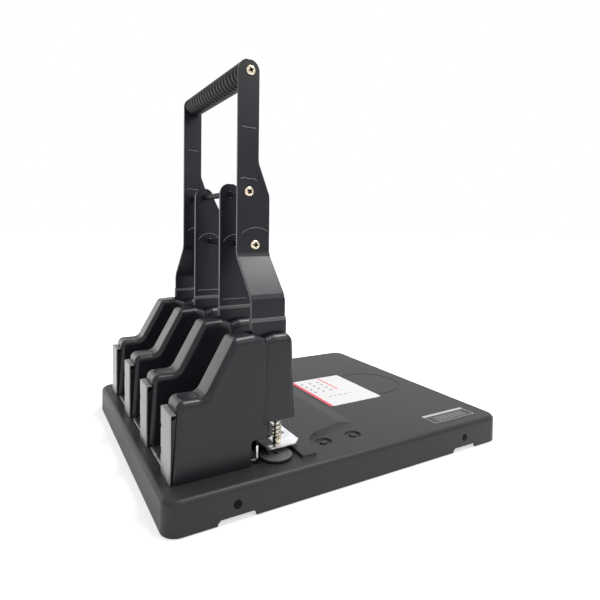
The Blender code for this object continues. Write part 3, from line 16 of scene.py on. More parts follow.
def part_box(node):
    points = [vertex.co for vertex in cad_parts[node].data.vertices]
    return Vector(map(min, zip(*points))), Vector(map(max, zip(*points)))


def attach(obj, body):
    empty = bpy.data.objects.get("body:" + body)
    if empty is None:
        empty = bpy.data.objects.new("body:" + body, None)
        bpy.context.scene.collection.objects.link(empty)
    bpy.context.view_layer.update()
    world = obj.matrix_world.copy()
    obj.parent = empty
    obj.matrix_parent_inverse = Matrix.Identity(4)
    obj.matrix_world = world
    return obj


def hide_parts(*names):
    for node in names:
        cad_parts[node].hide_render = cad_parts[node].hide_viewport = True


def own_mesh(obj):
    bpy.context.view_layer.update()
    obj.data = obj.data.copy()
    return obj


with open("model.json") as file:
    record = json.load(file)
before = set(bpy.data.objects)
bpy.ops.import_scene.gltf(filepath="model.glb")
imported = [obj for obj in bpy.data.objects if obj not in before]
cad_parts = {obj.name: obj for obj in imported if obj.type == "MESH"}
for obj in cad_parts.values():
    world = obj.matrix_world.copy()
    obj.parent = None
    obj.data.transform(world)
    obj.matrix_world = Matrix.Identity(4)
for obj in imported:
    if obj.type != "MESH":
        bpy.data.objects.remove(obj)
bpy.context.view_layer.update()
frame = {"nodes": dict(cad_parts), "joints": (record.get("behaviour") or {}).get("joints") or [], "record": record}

bl_info = {
    "name": "Four-hole punch looks",
    "version": (1, 0, 0),
    "blender": (4, 5, 0),
    "location": "View3D > Sidebar > Punch",
    "description": "Fine surfaces, materials and a studio for a four-hole desk punch",
    "category": "Object",
}

# Rows of like pieces, and what the frame says about them
HEADS = ("1", "2", "3", "4")
SIDES = {"left": -1, "right": 1}
QUARTER = math.pi / 2
TINY = 0.00001
BEYOND = 0.001
SEAT_GAP = 0.0003


def low(node):
    return np.array(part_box(node)[0])


def high(node):
    return np.array(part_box(node)[1])


def middle(node):
    return (low(node) + high(node)) / 2


HEAD_XS = [float(middle(f"head_cover_{name}")[0]) for name in HEADS]
HEAD_PITCH = HEAD_XS[1] - HEAD_XS[0]
PIN_Y = float(middle("punch_pin_1")[1])
BASE_TOP = float(low("head_cover_1")[2]) - SEAT_GAP
BASE_SIDE = float(high("base_housing")[0])
PLATFORM_TOP = float(high("base_housing")[2])
PIVOT = np.array(next(j["pos_m"] for j in frame["joints"] if j["name"] == "lever_swing"))


class PunchSizes(bpy.types.PropertyGroup):
    """Fine sizes that the looks add to the frame."""

    base_edge: bpy.props.FloatProperty(
        name="Base edge", description="Radius of the base's upper edge", default=0.0046, unit="LENGTH")
    base_corner: bpy.props.FloatProperty(
        name="Base corner", description="Radius of the base's corners", default=0.014, unit="LENGTH")
    base_wall: bpy.props.FloatProperty(
        name="Base wall", description="Thickness of the base's skirt", default=0.0025, unit="LENGTH")
    cover_edge: bpy.props.FloatProperty(
        name="Cover edge", description="Radius along a cover's upper rims", default=0.0054, unit="LENGTH")
    crown_edge: bpy.props.FloatProperty(
        name="Crown edge", description="Radius along the rims of the top", default=0.0072, unit="LENGTH")
    hump_edge: bpy.props.FloatProperty(
        name="Hump edge", description="Radius along the rims of the step", default=0.0062, unit="LENGTH")
    block_edge: bpy.props.FloatProperty(
        name="Block edge", description="Radius of the block's corners", default=0.0078, unit="LENGTH")
    under_edge: bpy.props.FloatProperty(
        name="Lower edge", description="Radius along a cover's lower rims", default=0.0008, unit="LENGTH")
    cover_wall: bpy.props.FloatProperty(
        name="Cover wall", description="Thickness of a cover's wall", default=0.0016, unit="LENGTH")
    sheet_edge: bpy.props.FloatProperty(
        name="Sheet edge", description="Width of the rounding on sheet metal", default=0.0004, unit="LENGTH")
    rib_depth: bpy.props.FloatProperty(
        name="Rib depth", description="Height of a rib on the grip", default=0.0016, unit="LENGTH")
    ridge_radius: bpy.props.FloatProperty(
        name="Ridge radius", description="Radius of the lines on the arms", default=0.0003, unit="LENGTH")


class PunchColours(bpy.types.PropertyGroup):
    """Colours of the finishes."""

    base: bpy.props.FloatVectorProperty(
        name="Base", description="Plastic of the base", subtype="COLOR", default=(0.021, 0.021, 0.022))
    cover: bpy.props.FloatVectorProperty(
        name="Covers", description="Plastic of the covers", subtype="COLOR", default=(0.0125, 0.0125, 0.0165))
    enamel: bpy.props.FloatVectorProperty(
        name="Lever", description="Enamel of the lever", subtype="COLOR", default=(0.012, 0.0125, 0.018))
    zinc: bpy.props.FloatVectorProperty(
        name="Zinc", description="Bright zinc plate", subtype="COLOR", default=(0.70, 0.71, 0.73))
    yellow_zinc: bpy.props.FloatVectorProperty(
        name="Yellow zinc", description="Yellowish zinc plate", subtype="COLOR", default=(0.66, 0.58, 0.44))
    rubber: bpy.props.FloatVectorProperty(
        name="Grip", description="Rubber of the grip", subtype="COLOR", default=(0.006, 0.006, 0.009))
    stripe: bpy.props.FloatVectorProperty(
        name="Stripe", description="Red print on the label", subtype="COLOR", default=(0.72, 0.05, 0.10))


def sizes():
    return bpy.context.scene.punch_sizes


def colours():
    return bpy.context.scene.punch_colours


# Materials: patterns as repeats per metre and detail, bumps as strength and height
PLASTIC_CLOUD = (18.0, 4.0)
BASE_GRAIN = (1400.0, 3.0)
COVER_GRAIN = (1800.0, 3.0)
DISC_CLOUD = (60.0, 3.0)
DISC_GRAIN = (1500.0, 3.0)
ENAMEL_CLOUD = (24.0, 3.0)
ENAMEL_PEEL = (700.0, 2.0)
METAL_CLOUD = (130.0, 4.0)
METAL_STREAK = (30.0, 3.0)
RUBBER_CLOUD = (40.0, 4.0)
RUBBER_PORE = (1600.0, 3.0)
LABEL_GRAIN = (300.0, 3.0)
PLATE_GRAIN = (500.0, 3.0)
FLOOR_CLOUD = (3.0, 3.0)
GRAIN_BUMP = (0.30, 0.00006)
PEEL_BUMP = (0.25, 0.00005)
STREAK_BUMP = (0.15, 0.00005)
PORE_BUMP = (0.40, 0.00006)

# Limits between which a pattern fades, and shares of a colour at its two ends
SOFT = (0.30, 0.70)
FIRM = (0.35, 0.65)
CRISP = (0.38, 0.62)
BLOOM = (0.35, 0.70)
PLASTIC_TONES = (0.88, 1.16)
MOTTLED_TONES = (0.85, 1.2)
METAL_TONES = (0.86, 1.05)
RUBBER_TONES = (1.0, 1.5)


class Nodes:
    """A material's node tree, with short calls for the nodes that the finishes share."""

    def __init__(self, name):
        self.material = bpy.data.materials.new(name)
        self.material.use_nodes = True
        self.tree = self.material.node_tree
        self.shader = self.tree.nodes["Principled BSDF"]

    def set(self, **values):
        for socket, value in values.items():
            self.shader.inputs[socket.replace("_", " ")].default_value = value

    def join(self, out, name):
        """Link an output to the shader's socket of this name."""
        self.tree.links.new(out, self.shader.inputs[name])

    def add(self, kind, **inputs):
        node = self.tree.nodes.new(kind)
        for socket, value in inputs.items():
            self.feed(node.inputs[socket.replace("_", " ")], value)
        return node

    def feed(self, socket, value):
        if isinstance(value, bpy.types.NodeSocket):
            self.tree.links.new(value, socket)
        else:
            socket.default_value = value

    def place(self, stretch=(1.0, 1.0, 1.0)):
        """Object coordinates, stretched."""
        coordinates = self.add("ShaderNodeTexCoord")
        mapping = self.add("ShaderNodeMapping", Vector=coordinates.outputs["Object"], Scale=stretch)
        return mapping.outputs["Vector"]

    def axes(self):
        """X, Y and Z of the object coordinates."""
        node = self.add("ShaderNodeSeparateXYZ", Vector=self.place())
        return [node.outputs[name] for name in "XYZ"]

    def noise(self, pattern, stretch=(1.0, 1.0, 1.0)):
        scale, detail = pattern
        node = self.add("ShaderNodeTexNoise", Vector=self.place(stretch), Scale=scale, Detail=detail)
        return node.outputs["Fac"]

    def ramp(self, value, limits, results=(0.0, 1.0)):
        """The value between two limits, carried over to two results and held at its ends."""
        node = self.add("ShaderNodeMapRange", Value=value, From_Min=limits[0], From_Max=limits[1],
                        To_Min=results[0], To_Max=results[1])
        return node.outputs["Result"]

    def math(self, operation, first, second=0.0):
        node = self.tree.nodes.new("ShaderNodeMath")
        node.operation = operation
        for socket, value in zip(node.inputs, (first, second)):
            self.feed(socket, value)
        return node.outputs["Value"]

    def times(self, first, second):
        return self.math("MULTIPLY", first, second)

    def less(self, first, second):
        return self.math("SUBTRACT", first, second)

    def below(self, value, limit):
        return self.math("LESS_THAN", value, limit)

    def above(self, value, limit):
        return self.math("GREATER_THAN", value, limit)

    def size(self, value):
        return self.math("ABSOLUTE", value)

    def most(self, first, *others):
        for other in others:
            first = self.math("MAXIMUM", first, other)
        return first

    def band(self, value, limits):
        """1 where a value lies between two limits."""
        return self.times(self.above(value, limits[0]), self.below(value, limits[1]))

    def field(self, x, y, limits):
        """1 on a rectangle given by its limits along X and Y."""
        return self.times(self.band(x, limits[0]), self.band(y, limits[1]))

    def mix(self, factor, first, second):
        node = self.tree.nodes.new("ShaderNodeMix")
        node.data_type = "RGBA"
        self.feed(node.inputs[0], factor)
        for socket, value in ((node.inputs[6], first), (node.inputs[7], second)):
            self.feed(socket, (*value, 1.0) if isinstance(value, tuple) else value)
        return node.outputs[2]

    def mottled(self, pattern, limits, colour, tones):
        """A colour that follows a pattern between its darker and its lighter tone."""
        dark, light = tones
        return self.mix(self.ramp(pattern, limits), lighter(colour, dark), lighter(colour, light))

    def bump(self, height, strength, distance):
        node = self.add("ShaderNodeBump", Height=height, Strength=strength, Distance=distance)
        self.join(node.outputs["Normal"], "Normal")


def lighter(colour, share):
    return tuple(value * share for value in colour)


def around(value, spread):
    return value - spread, value + spread


PLASTIC_UNEVEN = 0.03
PLASTIC_SPECK = 0.04


def grained_plastic(name, colour, roughness, gloss, grain):
    """Moulded plastic: a fine eroded grain, with soft variation of tone and gloss."""
    made = Nodes(name)
    cloud, speck = made.noise(PLASTIC_CLOUD), made.noise(grain)
    made.join(made.mottled(cloud, FIRM, colour, PLASTIC_TONES), "Base Color")
    rough = made.math("ADD", made.ramp(cloud, SOFT, around(roughness, PLASTIC_UNEVEN)),
                      made.ramp(speck, SOFT, around(0.0, PLASTIC_SPECK)))
    made.join(rough, "Roughness")
    made.bump(speck, *GRAIN_BUMP)
    made.set(Specular_IOR_Level=gloss)
    return made.material


# Painted highlight on the chamfered band round each cam foot
BAND_HIGHLIGHT_ENAMEL = (0.115, 0.115, 0.122)
FOOT_BAND_Z = (0.1531, 0.1568)
ENAMEL_UNEVEN = 0.04


def enamel(name, colour, painted_highlight=None, roughness=0.33, gloss=0.28):
    """Baked enamel: a slight orange peel under a thin gloss. Where the painted-highlight function gives 1, a pale
    painted highlight takes the place of the enamel's colour.
    """
    made = Nodes(name)
    cloud = made.noise(ENAMEL_CLOUD)
    skin = made.mottled(cloud, FIRM, colour, MOTTLED_TONES)
    if painted_highlight:
        skin = made.mix(painted_highlight(made), skin, BAND_HIGHLIGHT_ENAMEL)
    made.join(skin, "Base Color")
    made.join(made.ramp(cloud, SOFT, around(roughness, ENAMEL_UNEVEN)), "Roughness")
    made.bump(made.noise(ENAMEL_PEEL), *PEEL_BUMP)
    made.set(Specular_IOR_Level=gloss)
    return made.material


def foot_band(made):
    """The chamfered band round the top of each foot, where a highlight is painted."""
    return made.band(made.axes()[2], FOOT_BAND_Z)


# Colour of painted shade on plated metal
PAINTED_SHADE_METAL = (0.012, 0.012, 0.013)
STREAK_STRETCH = {"x": (2.0, 40.0, 40.0), "y": (40.0, 2.0, 40.0), "z": (40.0, 40.0, 2.0)}
STREAK_SHARE = 0.4
METAL_ROUGH = (-0.07, 0.10)


def plated(name, colour, roughness, along="z", shade=None):
    """Plated metal: cloudy spangle and streaks along the sheet, with painted shade where the shade function gives
    1.
    """
    made = Nodes(name)
    streak, cloud = made.noise(METAL_STREAK, STREAK_STRETCH[along]), made.noise(METAL_CLOUD)
    tone = made.math("ADD", made.times(streak, STREAK_SHARE), made.times(cloud, 1 - STREAK_SHARE))
    skin = made.mottled(tone, CRISP, colour, METAL_TONES)
    if shade:
        skin = made.mix(shade(made), skin, PAINTED_SHADE_METAL)
    made.join(skin, "Base Color")
    made.join(made.ramp(tone, FIRM, (roughness + METAL_ROUGH[0], roughness + METAL_ROUGH[1])), "Roughness")
    made.bump(streak, *STREAK_BUMP)
    made.set(Metallic=1.0)
    return made.material


# Painted shade in the screws' crosses: shares of the cross's depth over which it fades in
SUNK_LIMITS = (0.15, 0.6)


def sunk_shade(made):
    """Painted shade in a screw's cross, darker where the cross is deeper."""
    sunk = made.add("ShaderNodeAttribute")
    sunk.attribute_name = "sunk"
    return made.ramp(sunk.outputs["Fac"], SUNK_LIMITS)


# Painted shade and reflection on the stripper sheet: where they fall along Z, Y and X, and the lit band of the
# last leg
PLATE_RISEN_Z = (0.0386, 0.0390)
PLATE_REAR_Y = (-0.0835, -0.0865)
PLATE_REAR_SHADE = 0.92
PLATE_END_X = (0.1232, 0.1242)
PLATE_UNDER_NOSE_Y = (-0.0755, -0.0785)
PLATE_LEG_Y = (-0.0985, -0.0995)
PLATE_BETWEEN = (0.0120, 0.0150)
PLATE_FRONT_Y = (-0.0575, -0.0605)
LEG_EDGE_X = 0.1329
LEG_LIT_Z = (0.0346, 0.0458)


def plate_shade(made):
    """Painted shade under the noses, between the heads and where the sheet stands up, and under the noses a
    painted reflection of the dark covers. On the last leg's edge only a band stays lit.
    """
    x, y, z = made.axes()
    away = made.size(x)
    under_nose = made.times(made.ramp(away, PLATE_END_X, (1.0, 0.0)), made.ramp(y, PLATE_UNDER_NOSE_Y))
    rear = made.most(made.ramp(y, PLATE_REAR_Y, (0.0, PLATE_REAR_SHADE)), under_nose)
    between = made.ramp(made.size(head_offset(made, x)), PLATE_BETWEEN)
    dark = made.most(made.ramp(z, PLATE_RISEN_Z), made.times(rear, made.ramp(y, PLATE_LEG_Y, (1.0, 0.0))),
                     made.times(between, made.ramp(y, PLATE_FRONT_Y)))
    edge = made.above(away, LEG_EDGE_X)
    unlit = made.less(1.0, made.band(z, LEG_LIT_Z))
    return made.most(made.times(made.less(1.0, edge), dark), made.times(edge, unlit))


def head_offset(made, x):
    """Distance along X from the middle of the nearest head."""
    wrapped = made.math("MODULO", made.math("ADD", x, HEAD_PITCH * 1.5 - HEAD_XS[0]), HEAD_PITCH)
    return made.less(wrapped, HEAD_PITCH / 2)


def distance(made, x, y, point):
    """Distance in the XY plane from a point."""
    squares = [made.math("POWER", made.size(made.less(value, at)), 2.0) for value, at in zip((x, y), point)]
    return made.math("SQRT", made.math("ADD", *squares))


DISC_HOLE = 0.0019
DISC_MARK_AT = (-0.0020, -0.0105)
DISC_MARK_RADIUS = 0.0030
DISC_MARK_WIDTH = 0.0007
DISC_MARK_END = 0.0011
# Painted shade in the hole and on the side wall; the ring mark is black
DISC_DARK_RIM = 0.0002
DISC_WALL_DROP = 0.0006
DISC_WALL_SHARE = 0.1
DISC_DEEP_SHARE = 0.02
DISC_ROUGH = (0.42, 0.52)
DISC_GLOSS = 0.30


def disc_plastic(name, colour):
    """Greyer plastic than the base's, with painted shade on the side wall and in the hole, and a black open ring
    mark.
    """
    made = Nodes(name)
    x, y, z = made.axes()
    centre = middle("cutting_disc_1")
    x = made.less(head_offset(made, x), float(centre[0]) - HEAD_XS[0])
    y = made.less(y, float(centre[1]))
    hole = made.below(distance(made, x, y, (0.0, 0.0)), DISC_HOLE + DISC_DARK_RIM)
    ring = made.band(distance(made, x, y, DISC_MARK_AT),
                     (DISC_MARK_RADIUS - DISC_MARK_WIDTH - DISC_DARK_RIM, DISC_MARK_RADIUS + DISC_DARK_RIM))
    deep = made.most(hole, made.times(ring, made.below(x, DISC_MARK_AT[0] + DISC_MARK_END)))
    speck = made.noise(DISC_GRAIN)
    wall = made.below(z, float(high("cutting_disc_1")[2]) - DISC_WALL_DROP)
    skin = made.mottled(made.noise(DISC_CLOUD), FIRM, colour, MOTTLED_TONES)
    skin = made.mix(wall, skin, lighter(colour, DISC_WALL_SHARE))
    made.join(made.mix(deep, skin, lighter(colour, DISC_DEEP_SHARE)), "Base Color")
    made.join(made.ramp(deep, (0.0, 1.0), (DISC_GLOSS, 0.0)), "Specular IOR Level")
    made.join(made.most(deep, made.ramp(speck, SOFT, DISC_ROUGH)), "Roughness")
    made.bump(speck, *GRAIN_BUMP)
    return made.material


# Painted shade on the head frames: where it falls and how dark it is
FRAME_LIP_Z = (0.0862, 0.0866)
FRAME_LIP_SHADE = 0.45
FRAME_AHEAD_Y = (-0.1782, -0.1776)
FRAME_AHEAD_SHADE = 0.95
WEB_TOP_SHADE = 0.30
WEB_MARK_FROM = 0.0118
WEB_MARK_HALF = 0.0013
WEB_MARK_ZS = (0.0506, 0.0698)


def frame_shade(made):
    """Painted shade ahead of the rear web's face, less on its lip; the frame is also darker towards its top; and a
    row of dark marks painted up one edge of each web stands for the shade in its notches.
    """
    x, y, z = made.axes()
    lip = made.ramp(z, FRAME_LIP_Z, (1.0, FRAME_LIP_SHADE))
    ahead = made.times(lip, made.ramp(y, FRAME_AHEAD_Y, (0.0, FRAME_AHEAD_SHADE)))
    ahead = made.most(ahead, made.ramp(z, (BASE_TOP, WEB_MARK_ZS[-1]), (0.0, WEB_TOP_SHADE)))
    edge = made.below(head_offset(made, x), -WEB_MARK_FROM)
    marks = made.most(*[made.band(z, around(height, WEB_MARK_HALF)) for height in WEB_MARK_ZS])
    return made.most(ahead, made.times(edge, marks))


RUBBER_UNEVEN = 0.05
RUBBER_GLOSS = 0.17


def rubber(name, colour, roughness):
    """Matt rubber with a fine pore and a pale bloom in soft patches."""
    made = Nodes(name)
    pore = made.noise(RUBBER_PORE)
    made.join(made.mottled(made.noise(RUBBER_CLOUD), BLOOM, colour, RUBBER_TONES), "Base Color")
    made.join(made.ramp(pore, SOFT, around(roughness, RUBBER_UNEVEN)), "Roughness")
    made.bump(pore, *PORE_BUMP)
    made.set(Specular_IOR_Level=RUBBER_GLOSS)
    return made.material


# Prints: limits along X and Y from a label's middle, and the half pitch and half length of dashes
DASH_START = 0.1
STRIPE_WIDTH = 0.0042
GUIDE_BAR = ((-0.0465, 0.0006), (0.0036, 0.0058))
GUIDE_BLOCK = ((-0.042, 0.004), (-0.0300, 0.0))
GUIDE_BLOCK_DASHES = ((0.0055, 0.0060), (0.0022, 0.0013))
GUIDE_EDGE = ((0.010, 0.034), (-0.0210, 0.0120))
GUIDE_EDGE_DASHES = ((0.0120, 0.0040), (0.0008, 0.0021))
GUIDE_FILM = (0.70, 0.69, 0.69)
GUIDE_INK = (0.16, 0.16, 0.18)
GUIDE_ROUGH = (0.34, 0.46)
PLATE_BAR = 0.0042
PLATE_RIM = 0.0008
PLATE_LINE = 0.0006
PLATE_ROWS_GAP = 0.0022
PLATE_ROWS_Y = (-0.021, 0.022)
PLATE_DASHES = ((0.0017, 0.0016), (0.0007, 0.0011))
PLATE_DASH_INK = 0.6
PLATE_INK = (0.42, 0.42, 0.43)
PLATE_FILM_SHARE = 0.8
PLATE_ROUGH = (0.42, 0.52)


def dashes(made, x, y, pitch, dash):
    """1 on a field of short marks: rows a pitch apart along X, each broken into dashes along Y."""
    waves = [made.below(made.math("PINGPONG", made.math("ADD", value, DASH_START), pitch[k]), dash[k])
             for k, value in enumerate((x, y))]
    return made.times(*waves)


def label_axes(made, node):
    """Signed distances along X and Y from the middle of a label."""
    x, y, _ = made.axes()
    centre = middle(node)
    return made.less(x, float(centre[0])), made.less(y, float(centre[1]))


def label_half(node):
    half = (high(node) - low(node)) / 2
    return float(half[0]), float(half[1])


def plate_lines(made, x, y):
    """1 on a printed outline, on a bar along its low side in X and on dashes beside the bar."""
    half_x, half_y = [half - PLATE_RIM for half in label_half("rating_label")]
    away_x, away_y = made.size(x), made.size(y)
    inside, core = [made.times(made.below(away_x, half_x - line), made.below(away_y, half_y - line))
                    for line in (0.0, PLATE_LINE)]
    bar = made.times(inside, made.below(x, PLATE_BAR - half_x))
    rows = made.field(x, y, ((PLATE_BAR - half_x + PLATE_ROWS_GAP, half_x - PLATE_ROWS_GAP), PLATE_ROWS_Y))
    marks = made.times(rows, dashes(made, x, y, *PLATE_DASHES))
    return made.most(made.less(inside, core), bar, made.times(marks, PLATE_DASH_INK))


def guide_print(name):
    """White film with a red stripe along its rear edge, a thin red bar and rows of plain grey marks."""
    made = Nodes(name)
    x, y = label_axes(made, "guide_label")
    stripe = made.below(y, STRIPE_WIDTH - label_half("guide_label")[1])
    red = made.most(stripe, made.field(x, y, GUIDE_BAR))
    marks = made.most(*[made.times(made.field(x, y, limits), dashes(made, x, y, *rows)) for limits, rows in
                        ((GUIDE_BLOCK, GUIDE_BLOCK_DASHES), (GUIDE_EDGE, GUIDE_EDGE_DASHES))])
    ink = made.mix(marks, GUIDE_FILM, GUIDE_INK)
    made.join(made.mix(red, ink, tuple(colours().stripe)), "Base Color")
    made.join(made.ramp(made.noise(LABEL_GRAIN), SOFT, GUIDE_ROUGH), "Roughness")
    return made.material


def plate_print(name):
    """Dark film with a pale outline and plain pale rows, without any writing."""
    made = Nodes(name)
    lines = plate_lines(made, *label_axes(made, "rating_label"))
    made.join(made.mix(lines, lighter(colours().base, PLATE_FILM_SHARE), PLATE_INK), "Base Color")
    made.join(made.ramp(made.noise(PLATE_GRAIN), SOFT, PLATE_ROUGH), "Roughness")
    return made.material


# Painted highlight on the thin lines of the arms
LINE_HIGHLIGHT = (0.22, 0.22, 0.24)
FINISHES = {}


def finishes():
    """Every finish of the punch by slot name, made once."""
    if FINISHES:
        return FINISHES
    look = colours()
    FINISHES.update({
        "base_plastic": grained_plastic("base plastic", look.base, 0.46, 0.26, BASE_GRAIN),
        "cover_plastic": grained_plastic("cover plastic", look.cover, 0.32, 0.31, COVER_GRAIN),
        # The discs' grey is partly their own and partly painted light that lifts them out of the plate's shadow
        "disc_plastic": disc_plastic("disc plastic", lighter(look.base, 4.6)),
        "lever_enamel": enamel("lever enamel", look.enamel),
        # The feet's enamel has a painted highlight on its chamfered band
        "foot_enamel": enamel("foot enamel", look.enamel, painted_highlight=foot_band),
        "rod_enamel": enamel("rod enamel", lighter(look.enamel, 0.6), roughness=0.5, gloss=0.12),
        "black_screw": enamel("black screw", lighter(look.enamel, 0.25), roughness=0.6, gloss=0.08),
        # The arms' thin lines are painted pale as highlights
        "pale_line": enamel("pale line", LINE_HIGHLIGHT),
        "zinc": plated("zinc", look.zinc, 0.36),
        # The head frames' zinc takes painted shade
        "web_zinc": plated("web zinc", lighter(look.zinc, 0.58), 0.45, "z", frame_shade),
        # The stripper sheet's zinc takes painted shade and a painted reflection of the covers
        "plate_zinc": plated("plate zinc", lighter(look.zinc, 1.2), 0.38, "y", plate_shade),
        # Yellow zinc takes painted shade in the screws' crosses
        "yellow_zinc": plated("yellow zinc", look.yellow_zinc, 0.26, "x", sunk_shade),
        "tray_steel": plated("tray steel", lighter(look.zinc, 0.10), 0.5, "x"),
        "tool_steel": plated("tool steel", lighter(look.zinc, 0.8), 0.25),
        "grip_rubber": rubber("grip rubber", look.rubber, 0.45),
        "foot_rubber": rubber("foot rubber", lighter(look.rubber, 0.8), 0.75),
        "white_label": guide_print("white label"),
        "dark_label": plate_print("dark label"),
    })
    return FINISHES


def wear(obj, slot):
    obj.data.materials.clear()
    obj.data.materials.append(finishes()[slot])


# Meshes


def solid_mesh(name, points, faces):
    """A mesh whose doubles are merged and whose faces look outwards."""
    mesh = bpy.data.meshes.new(name)
    mesh.from_pydata(np.asarray(points, float).tolist(), [], [list(map(int, face)) for face in faces])
    work = bmesh.new()
    work.from_mesh(mesh)
    bmesh.ops.remove_doubles(work, verts=work.verts, dist=TINY / 10)
    bmesh.ops.recalc_face_normals(work, faces=work.faces)
    work.to_mesh(mesh)
    work.free()
    return mesh


def joined_mesh(name, solids):
    """One mesh from several (points, faces) solids that aren't cut by each other."""
    points, faces, start = [], [], 0
    for solid_points, solid_faces in solids:
        points.append(solid_points)
        faces += [np.asarray(face) + start for face in solid_faces]
        start += len(solid_points)
    return solid_mesh(name, np.concatenate(points), faces)


def linked(name, data):
    """A new object in the scene."""
    obj = bpy.data.objects.new(name, data)
    bpy.context.scene.collection.objects.link(obj)
    return obj


def carved(name, mesh, joined=(), cut=()):
    """The mesh after exact Booleans with solids that are then cleared away."""
    body = linked(name, mesh)
    others = []
    for operation, solids in (("UNION", joined), ("DIFFERENCE", cut)):
        for solid in solids:
            tool = linked(f"{name} tool", solid_mesh(f"{name} tool", *solid))
            step = body.modifiers.new("cut", "BOOLEAN")
            step.operation, step.solver, step.object = operation, "EXACT", tool
            others.append(tool)
    graph = bpy.context.evaluated_depsgraph_get()
    result = bpy.data.meshes.new_from_object(body.evaluated_get(graph))
    for obj in [body, *others]:
        bpy.data.objects.remove(obj, do_unlink=True)
    return result


SHARP_DEGREES = 32.0
EDGE_DEGREES = 38.0
FLAT_DEGREES = 0.5
EDGE_STEPS = 2
LARGE_FACES_FIRST = 100


def placed(name, mesh, slot):
    """A new object in its finish, smooth all over."""
    obj = linked(name, mesh)
    wear(obj, slot)
    mesh.shade_smooth()
    return obj


def piece(name, mesh, slot, body, *stands_for, angle=SHARP_DEGREES):
    """A finished piece in place: smooth but for its sharp edges, and riding on its body."""
    obj = placed(name, mesh, slot)
    mesh.set_sharp_from_angle(angle=math.radians(angle))
    even = obj.modifiers.new("even normals", "WEIGHTED_NORMAL")
    even.keep_sharp = True
    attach(obj, body)
    if stands_for:
        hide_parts(*stands_for)
    return obj


def mesh_points(mesh):
    """A mesh's points as the rows of an array."""
    at = np.empty(len(mesh.vertices) * 3)
    mesh.vertices.foreach_get("co", at)
    return at.reshape(-1, 3)


def refined(node, slot, body, width, shift=None):
    """A CAD node's own shape with its doubles merged, its flats joined and its edges finely rounded."""
    source = frame["nodes"][node].data.copy()
    if shift:
        at = mesh_points(source)
        at[:, 1] += shift(at)
        source.vertices.foreach_set("co", at.ravel())
    work = bmesh.new()
    work.from_mesh(source)
    bpy.data.meshes.remove(source)
    bmesh.ops.remove_doubles(work, verts=work.verts, dist=TINY)
    bmesh.ops.dissolve_limit(work, angle_limit=math.radians(FLAT_DEGREES), verts=work.verts, edges=work.edges)
    mesh = bpy.data.meshes.new(f"fine {node}")
    work.to_mesh(mesh)
    work.free()
    obj = placed(f"fine_{node}", mesh, slot)
    edge = obj.modifiers.new("edge", "BEVEL")
    edge.width, edge.segments = width, EDGE_STEPS
    edge.limit_method, edge.angle_limit = "ANGLE", math.radians(EDGE_DEGREES)
    edge.miter_outer = "MITER_ARC"
    obj.modifiers.new("even normals", "WEIGHTED_NORMAL").weight = LARGE_FACES_FIRST
    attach(obj, body)
    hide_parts(node)
    return obj


def grid_faces(rows, columns, wrap=True):
    """Quads between the neighbours of a grid of points, closed round its columns."""
    row, column = np.meshgrid(np.arange(rows - 1), np.arange(columns if wrap else columns - 1), indexing="ij")
    after = (column + 1) % columns
    corners = [row * columns + column, row * columns + after,
               (row + 1) * columns + after, (row + 1) * columns + column]
    return np.stack(corners, -1).reshape(-1, 4)


def loft(rings):
    """Rings of equal length joined in order, with the first and the last filled."""
    rings = np.asarray(rings, float)
    rows, columns = rings.shape[:2]
    faces = list(grid_faces(rows, columns))
    faces.append(np.arange(columns)[::-1])
    faces.append(np.arange((rows - 1) * columns, rows * columns))
    return rings.reshape(-1, 3), faces


def hoop(profiles):
    """Rings joined in order and the last one to the first: a closed ring-shaped solid."""
    profiles = np.asarray(profiles, float)
    rows, columns = profiles.shape[:2]
    closed = np.concatenate([profiles, profiles[:1]])
    return closed.reshape(-1, 3), list(grid_faces(rows + 1, columns))


def full_turn(sides):
    """Equal steps of angle round a circle."""
    return np.arange(sides) * 2 * math.pi / sides


def spokes(turn):
    """Directions in a plane at these angles: (cos t, sin t)."""
    return np.stack([np.cos(turn), np.sin(turn)], -1)


def swept(axis, profile, sides, centre):
    """A profile of (height, radius) pairs turned round an axis a:
    p = centre + height a + radius (cos t, sin t)."""
    profile = np.asarray(profile, float)
    flat = profile[:, 1, None, None] * spokes(full_turn(sides))[None]
    height = np.broadcast_to(profile[:, 0, None, None], (*flat.shape[:2], 1))
    order = {"x": (2, 0, 1), "z": (0, 1, 2)}[axis]
    return np.concatenate([flat, height], -1)[..., order] + np.asarray(centre, float)


def turned(axis, profile, sides, centre):
    """A turned solid with filled ends."""
    return loft(swept(axis, profile, sides, centre))


def tube(route, radius, sides, across):
    """A round wire along a route: p = route + radius (cos t n + sin t b), with n the reference made square
    to the route and b square to both."""
    route = np.asarray(route, float)
    tangent = np.gradient(route, axis=0)
    tangent /= np.linalg.norm(tangent, axis=1, keepdims=True)
    across = np.broadcast_to(np.asarray(across, float), route.shape)
    normal = across - (across * tangent).sum(1, keepdims=True) * tangent
    normal /= np.linalg.norm(normal, axis=1, keepdims=True)
    other = np.cross(tangent, normal)
    turn = full_turn(sides)
    ring = np.cos(turn)[None, :, None] * normal[:, None] + np.sin(turn)[None, :, None] * other[:, None]
    return loft(route[:, None] + radius * ring)


def at_height(outline, height):
    """An outline laid flat at a height."""
    return np.column_stack([outline, np.full(len(outline), height)])


def upright(outline, foot, height):
    """A prism on an outline, from its foot up by a height."""
    floor = at_height(outline, foot)
    return loft([floor, floor + np.array([0.0, 0.0, height])])


def box(lowest, highest):
    """A box between two corners, for cutting."""
    (x0, y0, z0), (x1, y1, z1) = lowest, highest
    return upright([(x0, y0), (x1, y0), (x1, y1), (x0, y1)], z0, z1 - z0)


